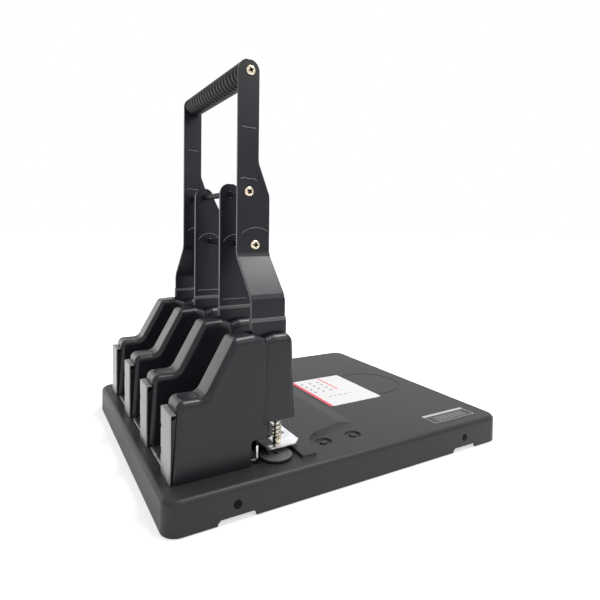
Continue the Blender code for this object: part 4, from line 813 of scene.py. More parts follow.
def open_ring(outer, inner, degrees, steps, centre):
    """The outline of a ring between two radii that runs over part of a turn."""
    ways = spokes(np.linspace(*[math.radians(value) for value in degrees], steps))
    return np.concatenate([ways * outer, ways[::-1] * inner]) + np.array(centre)


def rod(axis, radius, start, end, centre, sides=32):
    """A straight round solid along an axis, for cutting or joining."""
    return turned(axis, [(start, radius), (end, radius)], sides, centre)


def rounded(corners, steps):
    """A closed outline from (a, b, radius) corners, each rounded by an arc that touches both its sides."""
    out = []
    for i, (a, b, radius) in enumerate(corners):
        here = Vector((a, b))
        if not radius:
            out.append(tuple(here))
            continue
        to_last = (Vector(corners[i - 1][:2]) - here).normalized()
        to_next = (Vector(corners[(i + 1) % len(corners)][:2]) - here).normalized()
        half = to_last.angle(to_next) / 2
        centre = here + (to_last + to_next).normalized() * (radius / math.sin(half))
        start = here + to_last * (radius / math.tan(half)) - centre
        sweep = (math.pi - 2 * half) * (1 if to_next.cross(to_last) > 0 else -1)
        turn = math.atan2(start.y, start.x) + sweep * np.arange(steps + 1) / steps
        out += np.stack([centre.x + radius * np.cos(turn), centre.y + radius * np.sin(turn)], 1).tolist()
    return np.array(out)


def inset(corners, depths):
    """Corners moved inwards: the side from corner i to the next one moves by depths[i].
    The corners run anticlockwise."""
    at = np.array([corner[:2] for corner in corners])
    radius = np.array([corner[2] for corner in corners])
    depths = np.broadcast_to(np.asarray(depths, float), radius.shape)
    after = np.roll(at, -1, 0) - at
    after /= np.linalg.norm(after, axis=1, keepdims=True)
    inward = np.stack([-after[:, 1], after[:, 0]], 1)
    last, last_depth = np.roll(inward, 1, 0), np.roll(depths, 1)
    shift = np.linalg.solve(np.stack([last, inward], 1), np.stack([last_depth, depths], 1)[..., None])[..., 0]
    convex = last[:, 0] * inward[:, 1] - last[:, 1] * inward[:, 0] > 0
    follow = radius + np.where(convex, -1.0, 1.0) * (last_depth + depths) / 2
    follow = np.where(radius > 0, np.maximum(follow, TINY), 0.0)
    return [(float(a), float(b), float(r)) for (a, b), r in zip(at + shift, follow)]


def spread(corners, values, steps):
    """A value per side turned into a value per outline point, blended round each corner."""
    out = []
    for i, corner in enumerate(corners):
        last, after = values[i - 1], values[i]
        share = np.linspace(0.0, 1.0, steps + 1) if corner[2] else np.array([0.5])
        out.append(last + (after - last) * share)
    return np.concatenate(out)


def rim_rounded(corners, edges, half_width, steps=8, rim_steps=6):
    """A side outline drawn across a head with rounded rims. As t goes over a quarter turn the outline moves
    in by e (1 - cos t) and the ring moves out to the half width less e (1 - sin t). The side's radius is e."""
    edges = np.asarray(edges, float)
    rim = spread(corners, edges, steps)
    right = []
    for turn in np.linspace(0.0, QUARTER, rim_steps + 1):
        outline = rounded(inset(corners, edges * (1 - math.cos(turn))), steps)
        across = half_width(outline[:, 1]) - rim * (1 - math.sin(turn))
        right.append(np.column_stack([across, outline]))
    right = np.array(right)
    left = right[::-1] * np.array([-1.0, 1.0, 1.0])
    return loft(np.concatenate([left, right]))


def moved(mesh, name, shift):
    """A copy of a mesh in another place."""
    copy = mesh.copy()
    copy.name = name
    copy.transform(Matrix.Translation(Vector(shift)))
    return copy


# Base


SKIRT_FOOT_EDGE = 0.0004


def base_ring(shrink, height, corner_steps=12):
    """The base's outline from above, drawn in on every side and laid at a height."""
    x, y, _ = high("base_housing") - shrink
    corner = sizes().base_corner - shrink
    outline = rounded([(-x, -y, corner), (x, -y, corner), (x, y, corner), (-x, y, corner)], corner_steps)
    return at_height(outline, height)


def base_shell(edge_steps=9):
    """The housing, open below: rings go up inside, under the skirt and up outside. Round the upper edge, as t
    goes over a quarter turn, the ring draws in by e (1 - cos t) and lies e (1 - sin t) under the top."""
    size = sizes()
    foot = float(low("base_housing")[2])
    rings = [base_ring(size.base_wall, BASE_TOP - size.base_wall), base_ring(size.base_wall, foot),
             base_ring(SKIRT_FOOT_EDGE, foot), base_ring(0.0, foot + SKIRT_FOOT_EDGE)]
    for turn in np.linspace(0.0, QUARTER, edge_steps + 1):
        shrink = size.base_edge * (1 - math.cos(turn))
        rings.append(base_ring(shrink, BASE_TOP - size.base_edge * (1 - math.sin(turn))))
    return loft(rings)


PLATFORM_REAR_Y = -0.060
PLATFORM_REAR_HALF = 0.1445
PLATFORM_EAR_Y = -0.0465
PLATFORM_WAIST_HALF = 0.1085
PLATFORM_WAIST_Y = -0.034
PLATFORM_FRONT_HALF = 0.0965
PLATFORM_LIP_Y = 0.012
PLATFORM_RAMP = 0.018
PLATFORM_SLOPE = 0.0014
PLATFORM_SHARES = ((0.0, -0.25), (0.0, 0.0), (0.28, 0.10), (0.55, 0.40), (0.80, 0.76), (0.93, 0.94),
                   (1.0, 1.0))
PLATFORM_CORNER = 0.0016
PLATFORM_SWEEP = 0.024
PLATFORM_FRONT_CORNER = 0.002


def platform():
    """The paper platform: each outline is drawn in by a share of the slope and stands at a share of the
    height, with an S-shaped side and a long ramp in front."""
    rings = []
    for inwards, up in PLATFORM_SHARES:
        out = PLATFORM_SLOPE * (1 - inwards)
        ramp = PLATFORM_RAMP * (1 - max(up, 0.0))
        half = [
            (PLATFORM_REAR_HALF + out, PLATFORM_REAR_Y - out, PLATFORM_CORNER),
            (PLATFORM_REAR_HALF + out, PLATFORM_EAR_Y + out, PLATFORM_CORNER),
            (PLATFORM_WAIST_HALF + out, PLATFORM_WAIST_Y, PLATFORM_SWEEP),
            (PLATFORM_FRONT_HALF + out, PLATFORM_LIP_Y + ramp, PLATFORM_FRONT_CORNER),
        ]
        mirrored = [(-x, y, radius) for x, y, radius in reversed(half)]
        rings.append(at_height(rounded(half + mirrored, 8), BASE_TOP + (PLATFORM_TOP - BASE_TOP) * up))
    return loft(rings)


RECESS_YS = (-0.0240, 0.0115)
RECESS_INSET = 0.0370
RECESS_RADIUS = 0.0080
RECESS_DEPTH = 0.0018
RECESS_CHAMFER = 0.0007
RECESS_FILLET = 0.0004
RECESS_BOSS_RADIUS = 0.0038
RECESS_BOSS_FLAT = 0.0016
RECESS_BOSS_RINGS = ((0.0, -RECESS_DEPTH - 0.0005), (0.0, -0.0007), (0.0004, -0.0003))
RING_Y = 0.126
RING_RADIUS = 0.0410
RING_GROOVE = 0.0014
RING_DEPTH = 0.0004
RING_DEGREES = (-18.0, 198.0)
NOTCH_LENGTH = 0.034
NOTCH_TOP = 0.0052
NOTCH_CHAMFER = 0.0025
NOTCH_YS = (-0.130, 0.1345)
SKIRT_SCREW_SINK = 0.0010
SKIRT_SEAT_RADIUS = 0.0037
SKIRT_HOLE_RADIUS = 0.0020
DISC_BOSS_RADIUS = 0.0045
DISC_BOSS_RISE = 0.0021
LABEL_CORNER = 0.0025
LABEL_POCKET = 0.0005
POCKET_GAP = 0.0003


def recess_places():
    """Middles of the recesses, at the base's top."""
    return [(BASE_SIDE - RECESS_INSET, y, BASE_TOP) for y in RECESS_YS]


def recess_cuts():
    """Round recesses with a chamfered rim, each turned about its own axis."""
    profile = [(-RECESS_DEPTH, RECESS_RADIUS - RECESS_FILLET), (-RECESS_DEPTH + RECESS_FILLET, RECESS_RADIUS),
               (-RECESS_CHAMFER, RECESS_RADIUS), (0.0, RECESS_RADIUS + RECESS_CHAMFER),
               (BEYOND, RECESS_RADIUS + RECESS_CHAMFER + BEYOND)]
    return [turned("z", profile, 48, place) for place in recess_places()]


def recess_bosses():
    """D-shaped bosses in the recesses: circles kept behind a flat in X, drawn in a little at their tops."""
    out = []
    for x, y, top in recess_places():
        rings = []
        for shrink, height in RECESS_BOSS_RINGS:
            arc = spokes(full_turn(32)) * (RECESS_BOSS_RADIUS - shrink)
            arc[:, 0] = np.maximum(arc[:, 0], -RECESS_BOSS_FLAT + shrink)
            rings.append(at_height(arc + np.array([x, y]), top + height))
        out.append(loft(rings))
    return out


def ring_groove():
    """A shallow ring round the place in front of the label: a square profile carried round a circle."""
    outline = open_ring(RING_RADIUS + RING_GROOVE, RING_RADIUS, RING_DEGREES, 72, (0.0, RING_Y))
    return upright(outline, BASE_TOP - RING_DEPTH, RING_DEPTH + BEYOND)


def skirt_notch(side, y):
    """A notch with chamfered ends in the skirt's lower edge."""
    half, short = NOTCH_LENGTH / 2, NOTCH_TOP - NOTCH_CHAMFER
    outline = np.array([(y - half, -BEYOND), (y + half, -BEYOND), (y + half, short),
                        (y + half - NOTCH_CHAMFER, NOTCH_TOP), (y - half + NOTCH_CHAMFER, NOTCH_TOP),
                        (y - half, short)])
    ends = (side * (BASE_SIDE + BEYOND), side * (BASE_SIDE - sizes().base_wall - BEYOND / 2))
    return loft([np.column_stack([np.full(len(outline), x), outline]) for x in ends])


def label_pocket(node):
    """A pocket in the base's top with room for a label."""
    (x0, y0, _), (x1, y1, _) = low(node) - POCKET_GAP, high(node) + POCKET_GAP
    outline = rounded([(x, y, LABEL_CORNER) for x, y in ((x0, y0), (x1, y0), (x1, y1), (x0, y1))], 6)
    return upright(outline, BASE_TOP - LABEL_POCKET, LABEL_POCKET + BEYOND)


def skirt_cuts():
    """Notches and screw seats, one of each at four places of the skirt."""
    out = []
    for name, side in SIDES.items():
        for y, row in zip(NOTCH_YS, ("rear", "front")):
            out.append(skirt_notch(side, y))
            centre = middle(f"tray_screw_{row}_{name}") * np.array([0.0, 1.0, 1.0])
            for radius, depth in ((SKIRT_SEAT_RADIUS, SKIRT_SCREW_SINK),
                                  (SKIRT_HOLE_RADIUS, sizes().base_wall + BEYOND)):
                ends = sorted((side * (BASE_SIDE + BEYOND), side * (BASE_SIDE - depth)))
                out.append(rod("x", radius, *ends, centre))
    return out


def disc_bosses():
    """Round bosses that the discs turn on."""
    places = [(*middle(f"cutting_disc_{name}")[:2], 0.0) for name in HEADS]
    return [rod("z", DISC_BOSS_RADIUS, BASE_TOP - BEYOND / 2, BASE_TOP + DISC_BOSS_RISE, at) for at in places]


def build_base():
    rail = box(low("rear_rail") - POCKET_GAP, high("rear_rail") + POCKET_GAP + np.array([0.0, 0.0, BEYOND]))
    pockets = [label_pocket("guide_label"), label_pocket("rating_label")]
    cuts = [*recess_cuts(), ring_groove(), *pockets, rail, *skirt_cuts()]
    shell = carved("base", solid_mesh("base", *base_shell()), joined=[platform()], cut=cuts)
    mesh = carved("base", shell, joined=[*recess_bosses(), *disc_bosses()])
    piece("fine_base_housing", mesh, "base_plastic", "stand", "base_housing")


# Head covers


COVER_RISE = 0.1149
COVER_REAR_FOOT_Y = -0.1767
COVER_REAR_TOP_Y = -0.1728
HUMP_FRONT_Y = -0.1490
HUMP_REAR_RISE = 0.0666
HUMP_FRONT_RISE = 0.0662
SLOPE_TOP_Y = -0.1225
SLOPE_TOP_DROP = 0.0013
CROWN_Y = -0.1040
DIP_Y = -0.0925
DIP_DROP = 0.0045
BODY_FRONT_DROP = 0.0067
LOBE_REAR_Y = -0.0840
LOBE_DROP = 0.0017
NOSE_TOP_Y = -0.0656
NOSE_FOOT_Y = -0.0634
NOSE_FOOT_RISE = 0.0354
NOSE_REAR_Y = -0.0933
NOSE_REAR_EDGE = 0.0020
THROAT_REAR_Y = -0.1072
THROAT_STEP_RISE = 0.0219
BLOCK_FRONT_Y = -0.0870
BLOCK_WALL = 0.0040
COVER_FOOT_HALF = 0.0156
COVER_TOP_HALF = 0.0143
SLOT_HALF = 0.0070
SLOT_REAR_Y = -0.1062
SLOT_FLOOR_DROP = 0.0105
SPRING_HOLE_RADIUS = 0.0062
WINDOW_HALF = 0.0123
WINDOW_RISE = 0.0554
TAIL_HALF = 0.0107
TAIL_RISE = 0.0040
SCOOP_RADIUS = 0.0105
SCOOP_DEPTH = 0.0018
SCOOP_Y = -0.1598
HUMP_WALL = 0.0042
CROWN_WALL = 0.0038
CREASE_Y = -0.0936
CREASE_HALF = 0.0036
CREASE_DEPTH = 0.0011
CREASE_OUT = 0.0004
CUT_REACH = 0.0026

# Radii of the corners of a cover's side outline
REAR_CORNER = 0.0065
HUMP_CORNER = 0.0090
SLOPE_CORNER = 0.0050
CROWN_CORNER = 0.0080
FRONT_CORNER = 0.0030
BLOCK_CORNER = 0.0006
THROAT_CORNER = 0.0025
NOSE_CORNER = 0.0085
LOBE_CORNER = 0.0060
DIP_CORNER = 0.0015


def cover_foot():
    return float(low("head_cover_1")[2])


def cover_top():
    return cover_foot() + COVER_RISE


def cover_half(less=0.0):
    """Half the head's width as a straight function of height, narrower towards the top."""
    foot, top = cover_foot(), cover_top()
    return lambda z: COVER_FOOT_HALF + (COVER_TOP_HALF - COVER_FOOT_HALF) * (z - foot) / (top - foot) - less



def body_outline():
    """Corners of the body behind the nose, with the rounding of each side's rim."""
    size, foot, top = sizes(), cover_foot(), cover_top()
    return [
        (COVER_REAR_FOOT_Y, foot, 0.0, 0.0),
        (THROAT_REAR_Y, foot, 0.0, size.under_edge),
        (THROAT_REAR_Y, foot + THROAT_STEP_RISE, THROAT_CORNER, size.under_edge),
        (BLOCK_FRONT_Y, foot + THROAT_STEP_RISE, BLOCK_CORNER, size.block_edge),
        (BLOCK_FRONT_Y, top - BODY_FRONT_DROP, FRONT_CORNER, size.crown_edge),
        (CROWN_Y, top, CROWN_CORNER, size.crown_edge),
        (SLOPE_TOP_Y, top - SLOPE_TOP_DROP, SLOPE_CORNER, size.cover_edge),
        (HUMP_FRONT_Y, foot + HUMP_FRONT_RISE, HUMP_CORNER, size.hump_edge),
        (COVER_REAR_TOP_Y, foot + HUMP_REAR_RISE, REAR_CORNER, size.cover_edge),
    ]


def nose_outline():
    """Corners of the nose over the pin, with the rounding of each side's rim."""
    size, foot, top = sizes(), cover_foot(), cover_top()
    return [
        (NOSE_REAR_Y, foot + NOSE_FOOT_RISE, 0.0, size.under_edge),
        (NOSE_FOOT_Y, foot + NOSE_FOOT_RISE, 0.0, size.cover_edge),
        (NOSE_TOP_Y, top - LOBE_DROP, NOSE_CORNER, size.crown_edge),
        (LOBE_REAR_Y, top - LOBE_DROP, LOBE_CORNER, size.crown_edge),
        (NOSE_REAR_Y, top - DIP_DROP, DIP_CORNER, NOSE_REAR_EDGE),
    ]


def hollow():
    """The room inside a cover: its outline moved in by each side's wall, open below and within the block."""
    wall, foot, top = sizes().cover_wall, cover_foot(), cover_top()
    outline = [
        (COVER_REAR_FOOT_Y, foot, 0.0, wall),
        (THROAT_REAR_Y, foot, 0.0, wall),
        (THROAT_REAR_Y, foot + THROAT_STEP_RISE, 0.0, wall),
        (BLOCK_FRONT_Y, foot + THROAT_STEP_RISE, 0.0, wall),
        (BLOCK_FRONT_Y, foot + NOSE_FOOT_RISE, 0.0, wall),
        (NOSE_FOOT_Y, foot + NOSE_FOOT_RISE, 0.0, wall),
        (NOSE_TOP_Y, top - LOBE_DROP, NOSE_CORNER, CROWN_WALL),
        (LOBE_REAR_Y, top - LOBE_DROP, 0.0, CROWN_WALL),
        (DIP_Y, top - DIP_DROP, 0.0, CROWN_WALL),
        (CROWN_Y, top, CROWN_CORNER, CROWN_WALL),
        (SLOPE_TOP_Y, top - SLOPE_TOP_DROP, SLOPE_CORNER, wall),
        (HUMP_FRONT_Y, foot + HUMP_FRONT_RISE, HUMP_CORNER, HUMP_WALL),
        (COVER_REAR_TOP_Y, foot + HUMP_REAR_RISE, REAR_CORNER, wall),
    ]
    inner = inset([row[:3] for row in outline], [row[3] for row in outline])
    for k in (0, 1):
        inner[k] = (inner[k][0], foot - BEYOND, 0.0)
    for k in (3, 4):
        inner[k] = (BLOCK_FRONT_Y - BLOCK_WALL, *inner[k][1:])
    flat = rounded(inner, 4)
    half = cover_half(wall)(flat[:, 1])
    return loft([np.column_stack([half * side, flat]) for side in SIDES.values()])


def scoop():
    """The dish on the step: a cap of a sphere turned about an upright axis."""
    rise = np.linspace(TINY, SCOOP_DEPTH * 1.05, 12)
    sphere = (SCOOP_RADIUS**2 + SCOOP_DEPTH**2) / (2 * SCOOP_DEPTH)
    radius = np.sqrt(sphere**2 - (sphere - rise) ** 2)
    height = cover_foot() + HUMP_REAR_RISE - SCOOP_DEPTH + rise
    return turned("z", np.column_stack([height, radius]), 48, (0.0, SCOOP_Y, 0.0))


def crease(side):
    """The soft groove between body and nose: its depth is a raised cosine of the distance from its middle."""
    away = np.linspace(-1.0, 1.0, 21)
    depth = (CREASE_DEPTH + CREASE_OUT) * (0.5 + 0.5 * np.cos(away * math.pi)) - CREASE_OUT
    y = CREASE_Y + CREASE_HALF * away
    rings = []
    for z in (cover_foot() + NOSE_FOOT_RISE - BEYOND, cover_top() + BEYOND):
        half = cover_half()(z)
        back = side * (half + BEYOND)
        xs, ys = [*(side * (half - depth)), back, back], [*y, y[-1], y[0]]
        rings.append(at_height(np.column_stack([xs, ys]), z))
    return loft(rings)


def cover_cuts():
    """What is cut from a cover: its room, the dish, the creases, the foot's slot, two openings, the bore."""
    foot, top = cover_foot(), cover_top()
    under = foot + NOSE_FOOT_RISE
    return [
        hollow(), scoop(), crease(-1), crease(1),
        box((-SLOT_HALF, SLOT_REAR_Y, PIVOT[2] - SLOT_FLOOR_DROP),
            (SLOT_HALF, NOSE_FOOT_Y + BEYOND, top + BEYOND)),
        box((-WINDOW_HALF, COVER_REAR_FOOT_Y - BEYOND, foot - BEYOND),
            (WINDOW_HALF, COVER_REAR_TOP_Y + CUT_REACH, foot + WINDOW_RISE)),
        box((-TAIL_HALF, THROAT_REAR_Y - CUT_REACH, foot - BEYOND),
            (TAIL_HALF, THROAT_REAR_Y + BEYOND, foot + TAIL_RISE)),
        rod("z", SPRING_HOLE_RADIUS, under - BEYOND, under + CUT_REACH, (0.0, PIN_Y, 0.0)),
    ]


def build_covers():
    """The body and the nose are two rim-rounded solids; their soft edges leave the crease between them."""
    body, nose = [rim_rounded([row[:3] for row in outline], [row[3] for row in outline], cover_half())
                  for outline in (body_outline(), nose_outline())]
    mesh = carved("cover", solid_mesh("cover", *body), joined=[nose], cut=cover_cuts())
    for name, x in zip(HEADS, HEAD_XS):
        node = f"head_cover_{name}"
        piece(f"fine_{node}", moved(mesh, f"fine {node}", (x, 0.0, 0.0)), "cover_plastic", "stand", node)


# Grip, screws, springs, bushes and discs


GRIP_RIBS = 19
GRIP_END = 0.0040
GRIP_BORE = 0.0048
GRIP_ROUNDING = 0.0012
GRIP_SIDES = 56
RIB_STEPS = 16
RIB_POWER = 0.55
PLAIN_DEPTH = 0.35


def build_grip():
    """Ribs round a sleeve: the radius follows a raised power of a sine of the distance along the grip, and
    draws in over its rounded ends by the height of a circle."""
    lowest, highest = low("grip_sleeve"), high("grip_sleeve")
    radius = float(min((highest - lowest)[1:])) / 2
    half = float(highest[0])
    run = half - GRIP_END
    x = np.linspace(-half, half, GRIP_RIBS * RIB_STEPS + 1)
    phase = np.clip((x + run) / (2 * run), 0.0, 1.0) * GRIP_RIBS
    swell = np.abs(np.sin(phase * math.pi)) ** RIB_POWER
    outer = radius - sizes().rib_depth * np.where(np.abs(x) > run, PLAIN_DEPTH, 1 - swell)
    end = np.clip((half - np.abs(x)) / GRIP_ROUNDING, 0.0, 1.0)
    outer = outer - GRIP_ROUNDING * (1 - np.sqrt(1 - (1 - end) ** 2))
    profile = np.column_stack([[-half, *x, half], [GRIP_BORE, *outer, GRIP_BORE]])
    centre = middle("grip_sleeve") * np.array([0.0, 1.0, 1.0])
    mesh = solid_mesh("grip", *hoop(swept("x", profile, GRIP_SIDES, centre)))
    piece("fine_grip_sleeve", mesh, "grip_rubber", "lever", "grip_sleeve", angle=60.0)


SCREW_NAMES = ("grip_screw", "upper_tie_screw", "lower_tie_screw")
SCREW_HEAD = 0.0023
SCREW_RADIUS = 0.0049
SCREW_LIFT = 0.0002
SCREW_SHANK = ((0.0, SCREW_RADIUS), (0.0, 0.0020), (-0.0128, 0.0020), (-0.0130, 0.0016))
SCREW_DEGREES = (25.0, 56.0, 87.0)
DOME_POWER = 3.2
CROSS_HALF = 0.0031
CROSS_THIN = 0.0008
CROSS_TAPER = 0.35
CROSS_EDGE = 0.00022
CROSS_DEEP = 0.0017


def cross_depth(y, z, tilt):
    """Depth of a tilted cross recess at a place on the head: two tapering slots that deepen to the middle."""
    cos, sin = math.cos(tilt), math.sin(tilt)
    y, z = y * cos + z * sin, z * cos - y * sin
    fade = np.clip(1 - np.hypot(y, z) / CROSS_HALF, 0.0, 1.0)
    wide = CROSS_THIN * (1 + CROSS_TAPER * fade)
    arms = [np.clip((wide - np.abs(across)) / CROSS_EDGE, 0.0, 1.0) for across in (y, z)]
    return np.maximum(*arms) * np.clip(fade * 4, 0.0, 1.0) * CROSS_DEEP * (0.5 + 0.5 * fade)


def screw_head(side, centre, tilt, rings=30, sides=72):
    """A pan head as a height over a disc: a flattened dome, the root of 1 less a power of the radius, less
    the cross. Its rim and back are turned down to the shank."""
    share = np.linspace(0.0, 1.0, rings)[:, None]
    turn = full_turn(sides)[None]
    radius = SCREW_RADIUS * np.sin(share * QUARTER)
    y, z = radius * np.cos(turn), radius * np.sin(turn)
    dome = SCREW_HEAD * (1 - (radius / SCREW_RADIUS) ** DOME_POWER) ** 0.5 * np.ones_like(turn)
    front = np.stack([side * (dome - cross_depth(y, z, tilt) + SCREW_LIFT), y, z], -1)
    back = swept("x", [(side * at, r) for at, r in SCREW_SHANK], sides, (0.0, 0.0, 0.0))
    return loft(np.concatenate([front, back]) + centre)


def mark_recess(mesh, centre, tilt):
    """Write how deep each point of a head lies in its cross, from 0 to 1, for the finish to paint shade there."""
    y, z = (mesh_points(mesh) - centre)[:, 1:].T
    depth = cross_depth(y, z, tilt) / CROSS_DEEP
    mesh.attributes.new("sunk", "FLOAT", "POINT").data.foreach_set("value", depth.astype(np.float32))


def build_screws():
    for name, degrees in zip(SCREW_NAMES, SCREW_DEGREES):
        for side_name, side in SIDES.items():
            node = f"{name}_{side_name}"
            end = (high(node) if side > 0 else low(node))[0]
            centre = np.array([end - side * SCREW_HEAD, *middle(node)[1:]])
            tilt = math.radians(degrees)
            mesh = solid_mesh(f"fine {node}", *screw_head(side, centre, tilt))
            mark_recess(mesh, centre, tilt)
            piece(f"fine_{node}", mesh, "yellow_zinc", "lever", node, angle=40.0)


WIRE_RADIUS = 0.0006
SPRING_RADIUS = 0.0038
SPRING_PITCH = 0.0040
SPRING_END_PITCH = 0.0018


def spring_route():
    """A helix closed at both ends: the height's rate grows from the end pitch to the open pitch and back."""
    lowest, highest = low("return_spring_1"), high("return_spring_1")
    start, end = float(lowest[2]) + WIRE_RADIUS, float(highest[2]) - WIRE_RADIUS
    open_turns = round((end - start - 2 * SPRING_END_PITCH) / SPRING_PITCH)
    turns = open_turns + 2
    steps = np.linspace(0, turns, turns * 32 + 1)
    height = np.interp(steps, [0, 1, turns - 1, turns],
                       [0, SPRING_END_PITCH, end - start - SPRING_END_PITCH, end - start])
    return np.column_stack([SPRING_RADIUS * spokes(steps * 2 * math.pi), start + height])


def build_springs():
    points, faces = tube(spring_route(), WIRE_RADIUS, 12, (0.0, 0.0, 1.0))
    for name, x in zip(HEADS, HEAD_XS):
        node = f"return_spring_{name}"
        mesh = solid_mesh(f"fine {node}", points + np.array([x, PIN_Y, 0.0]), faces)
        obj = placed(f"fine_{node}", mesh, "yellow_zinc")
        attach(obj, "stand")
        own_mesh(obj)
        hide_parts(node)


BUSH_BORE = 0.0031
BUSH_FOOT = 0.0034
BUSH_FOOT_RIM = 0.0003
BUSH_RIM = 0.0004
BUSH_TAPER_RISE = 0.0026
BUSH_SIDES = 40


def build_bushes():
    """A tapered bush with chamfered rims, turned round the pin's axis and bored for it."""
    for name in HEADS:
        node = f"guide_bush_{name}"
        (left, _, foot), (right, _, top) = low(node), high(node)
        wide = float(right - left) / 2
        profile = [(foot, BUSH_BORE), (foot, BUSH_FOOT), (foot + BUSH_RIM, BUSH_FOOT + BUSH_FOOT_RIM),
                   (foot + BUSH_TAPER_RISE, wide), (top - BUSH_RIM, wide), (top, wide - BUSH_RIM),
                   (top, BUSH_BORE)]
        rings = swept("z", profile, BUSH_SIDES, (*middle(node)[:2], 0.0))
        piece(f"fine_{node}", solid_mesh(f"fine {node}", *hoop(rings)), "yellow_zinc", "stand", node)


DISC_SEAT_RADIUS = 0.0048
DISC_SEAT_DEPTH = 0.0021
DISC_MARK_DEPTH = 0.0004
DISC_MARK_DEGREES = (70.0, 290.0)
DISC_SIDES = 180
DISC_TEETH = 60
DISC_TOOTH = 0.00022
DISC_FOOT_RIM = 0.0006
DISC_RIM = 0.0005


def build_discs():
    """A disc with a soft rim, a hole and an open ring mark. Its radius falls by a raised cosine per tooth."""
    lowest, highest = low("cutting_disc_1"), high("cutting_disc_1")
    foot, top = float(lowest[2]), float(highest[2])
    turn = full_turn(DISC_SIDES)
    radius = float(highest[0] - lowest[0]) / 2 - DISC_TOOTH * (0.5 + 0.5 * np.cos(turn * DISC_TEETH))
    rims = ((foot, DISC_FOOT_RIM), (foot + DISC_RIM, 0.0), (top - DISC_RIM, 0.0), (top, DISC_RIM))
    rings = [at_height(spokes(turn) * (radius - back)[:, None], height) for height, back in rims]
    mark_inner = DISC_MARK_RADIUS - DISC_MARK_WIDTH
    mark = open_ring(DISC_MARK_RADIUS, mark_inner, DISC_MARK_DEGREES, 28, DISC_MARK_AT)
    cuts = [upright(mark, top - DISC_MARK_DEPTH, BEYOND),
            rod("z", DISC_HOLE, foot, top + BEYOND, (0.0, 0.0, 0.0)),
            rod("z", DISC_SEAT_RADIUS, foot - BEYOND, foot + DISC_SEAT_DEPTH, (0.0, 0.0, 0.0))]
    mesh = carved("disc", solid_mesh("disc", *loft(rings)), cut=cuts)
    for name in HEADS:
        node = f"cutting_disc_{name}"
        copy = moved(mesh, f"fine {node}", (*middle(node)[:2], 0.0))
        piece(f"fine_{node}", copy, "disc_plastic", f"disc_{name}", node)


# Sheet metal, with the thin raised lines on the arms, painted pale as highlights


ARM_LINES = (
    # arm, places along Y, heights, wave: a straight line, a wavy one and an arch
    ("outer", (-0.0985, -0.0835), (0.3347, 0.3343, 0.3341), 0.0004),
    ("outer", (-0.0990, -0.0820), (0.2850, 0.2860, 0.2836), 0.0026),
    ("outer", (-0.0970, -0.0700), (0.2334, 0.2385, 0.2347), 0.0),
    ("inner", (-0.0985, -0.0715), (0.1630, 0.1633, 0.1630), 0.0004),
    ("inner", (-0.0985, -0.0720), (0.2237, 0.2310, 0.2240), 0.0010),
)


def arm_line(x, ys, heights, wave):
    """A thin ridge on an arm's face: a parabola through three heights, with a small wave on top."""
    share = np.linspace(0.0, 1.0, 25)
    first, mid, last = heights
    z = first * (1 - share) * (1 - 2 * share) + 4 * mid * share * (1 - share) + last * share * (2 * share - 1)
    z = z + wave * np.sin(share * 3 * math.pi) * share * (1 - share)
    route = np.column_stack([np.full_like(share, x), ys[0] + (ys[1] - ys[0]) * share, z])
    return tube(route, sizes().ridge_radius, 8, (1.0, 0.0, 0.0))


ARM_SHEET = 0.003


def arm_faces(arm, name, side):
    """X of an arm's two faces. Above its jog an outer arm ends where the tie rods that pass through it do."""
    if arm == "inner":
        return low(name)[0], high(name)[0]
    outer = float(high("tie_rod_upper")[0])
    return side * outer, side * (outer - ARM_SHEET)


def build_arm_lines():
    for side_name, side in SIDES.items():
        for arm in ("outer", "inner"):
            node = f"{arm}_arm_{side_name}"
            solids = [arm_line(x, *line) for kind, *line in ARM_LINES if kind == arm
                      for x in arm_faces(arm, node, side)]
            obj = piece(f"{node}_lines", joined_mesh(f"{node} lines", solids), "lever_enamel", "lever")
            # The lines take a pale finish that paints their highlights
            wear(obj, "pale_line")


INNER_FRONT_Y = -0.0690
INNER_BELOW_Z = 0.250
INNER_WIDER = 0.0017


def inner_shift(at):
    """The inner arms are a little wider than their solids along the front edge, from the flare down."""
    return np.where((at[:, 1] > INNER_FRONT_Y) & (at[:, 2] < INNER_BELOW_Z), INNER_WIDER, 0.0)


def build_sheet_metal():
    width = sizes().sheet_edge
    for side in SIDES:
        refined(f"outer_arm_{side}", "lever_enamel", "lever", width)
        refined(f"inner_arm_{side}", "lever_enamel", "lever", width, shift=inner_shift)
    for name in HEADS:
        # The feet wear the enamel with a painted highlight on their chamfered band
        wear(refined(f"cam_foot_{name}", "lever_enamel", "lever", width / 2), "foot_enamel")
    # The stripper sheet wears zinc with painted shade and reflection
    wear(refined("stripper_plate", "zinc", "stand", width / 2), "plate_zinc")
    refined("rear_rail", "zinc", "stand", width)


# Finishes of CAD nodes that differ from their slot's, by the start of their names
DRESSED = {
    "tie_rod": "rod_enamel",
    "head_frame": "web_zinc",
    "bottom_tray": "tray_steel",
    "tray_screw": "black_screw",
}


def dress_cad_nodes():
    """Every node that keeps its CAD shape takes the finish of its slot, but for the ones in DRESSED."""
    slot_of = {part["node"]: part["material_slot"] for part in frame["record"]["subparts"]}
    for name, obj in frame["nodes"].items():
        special = [finish for start, finish in DRESSED.items() if name.startswith(start)]
        wear(obj, special[0] if special else slot_of[name])


# Stage


CAMERA_AT = (0.51668, -0.28393, 0.23875)
CAMERA_FORWARD = (-0.865129, 0.500537, -0.031852)
CAMERA_RIGHT = (0.500394, 0.865702, 0.012861)
CAMERA_UP = (-0.034011, 0.004812, 0.999409)
CAMERA_LENS_MM = 29.15
CAMERA_SENSOR_MM = 36.0
CAMERA_NEAR = 0.01
CAMERA_SHIFT = (0.0035, -0.0946)


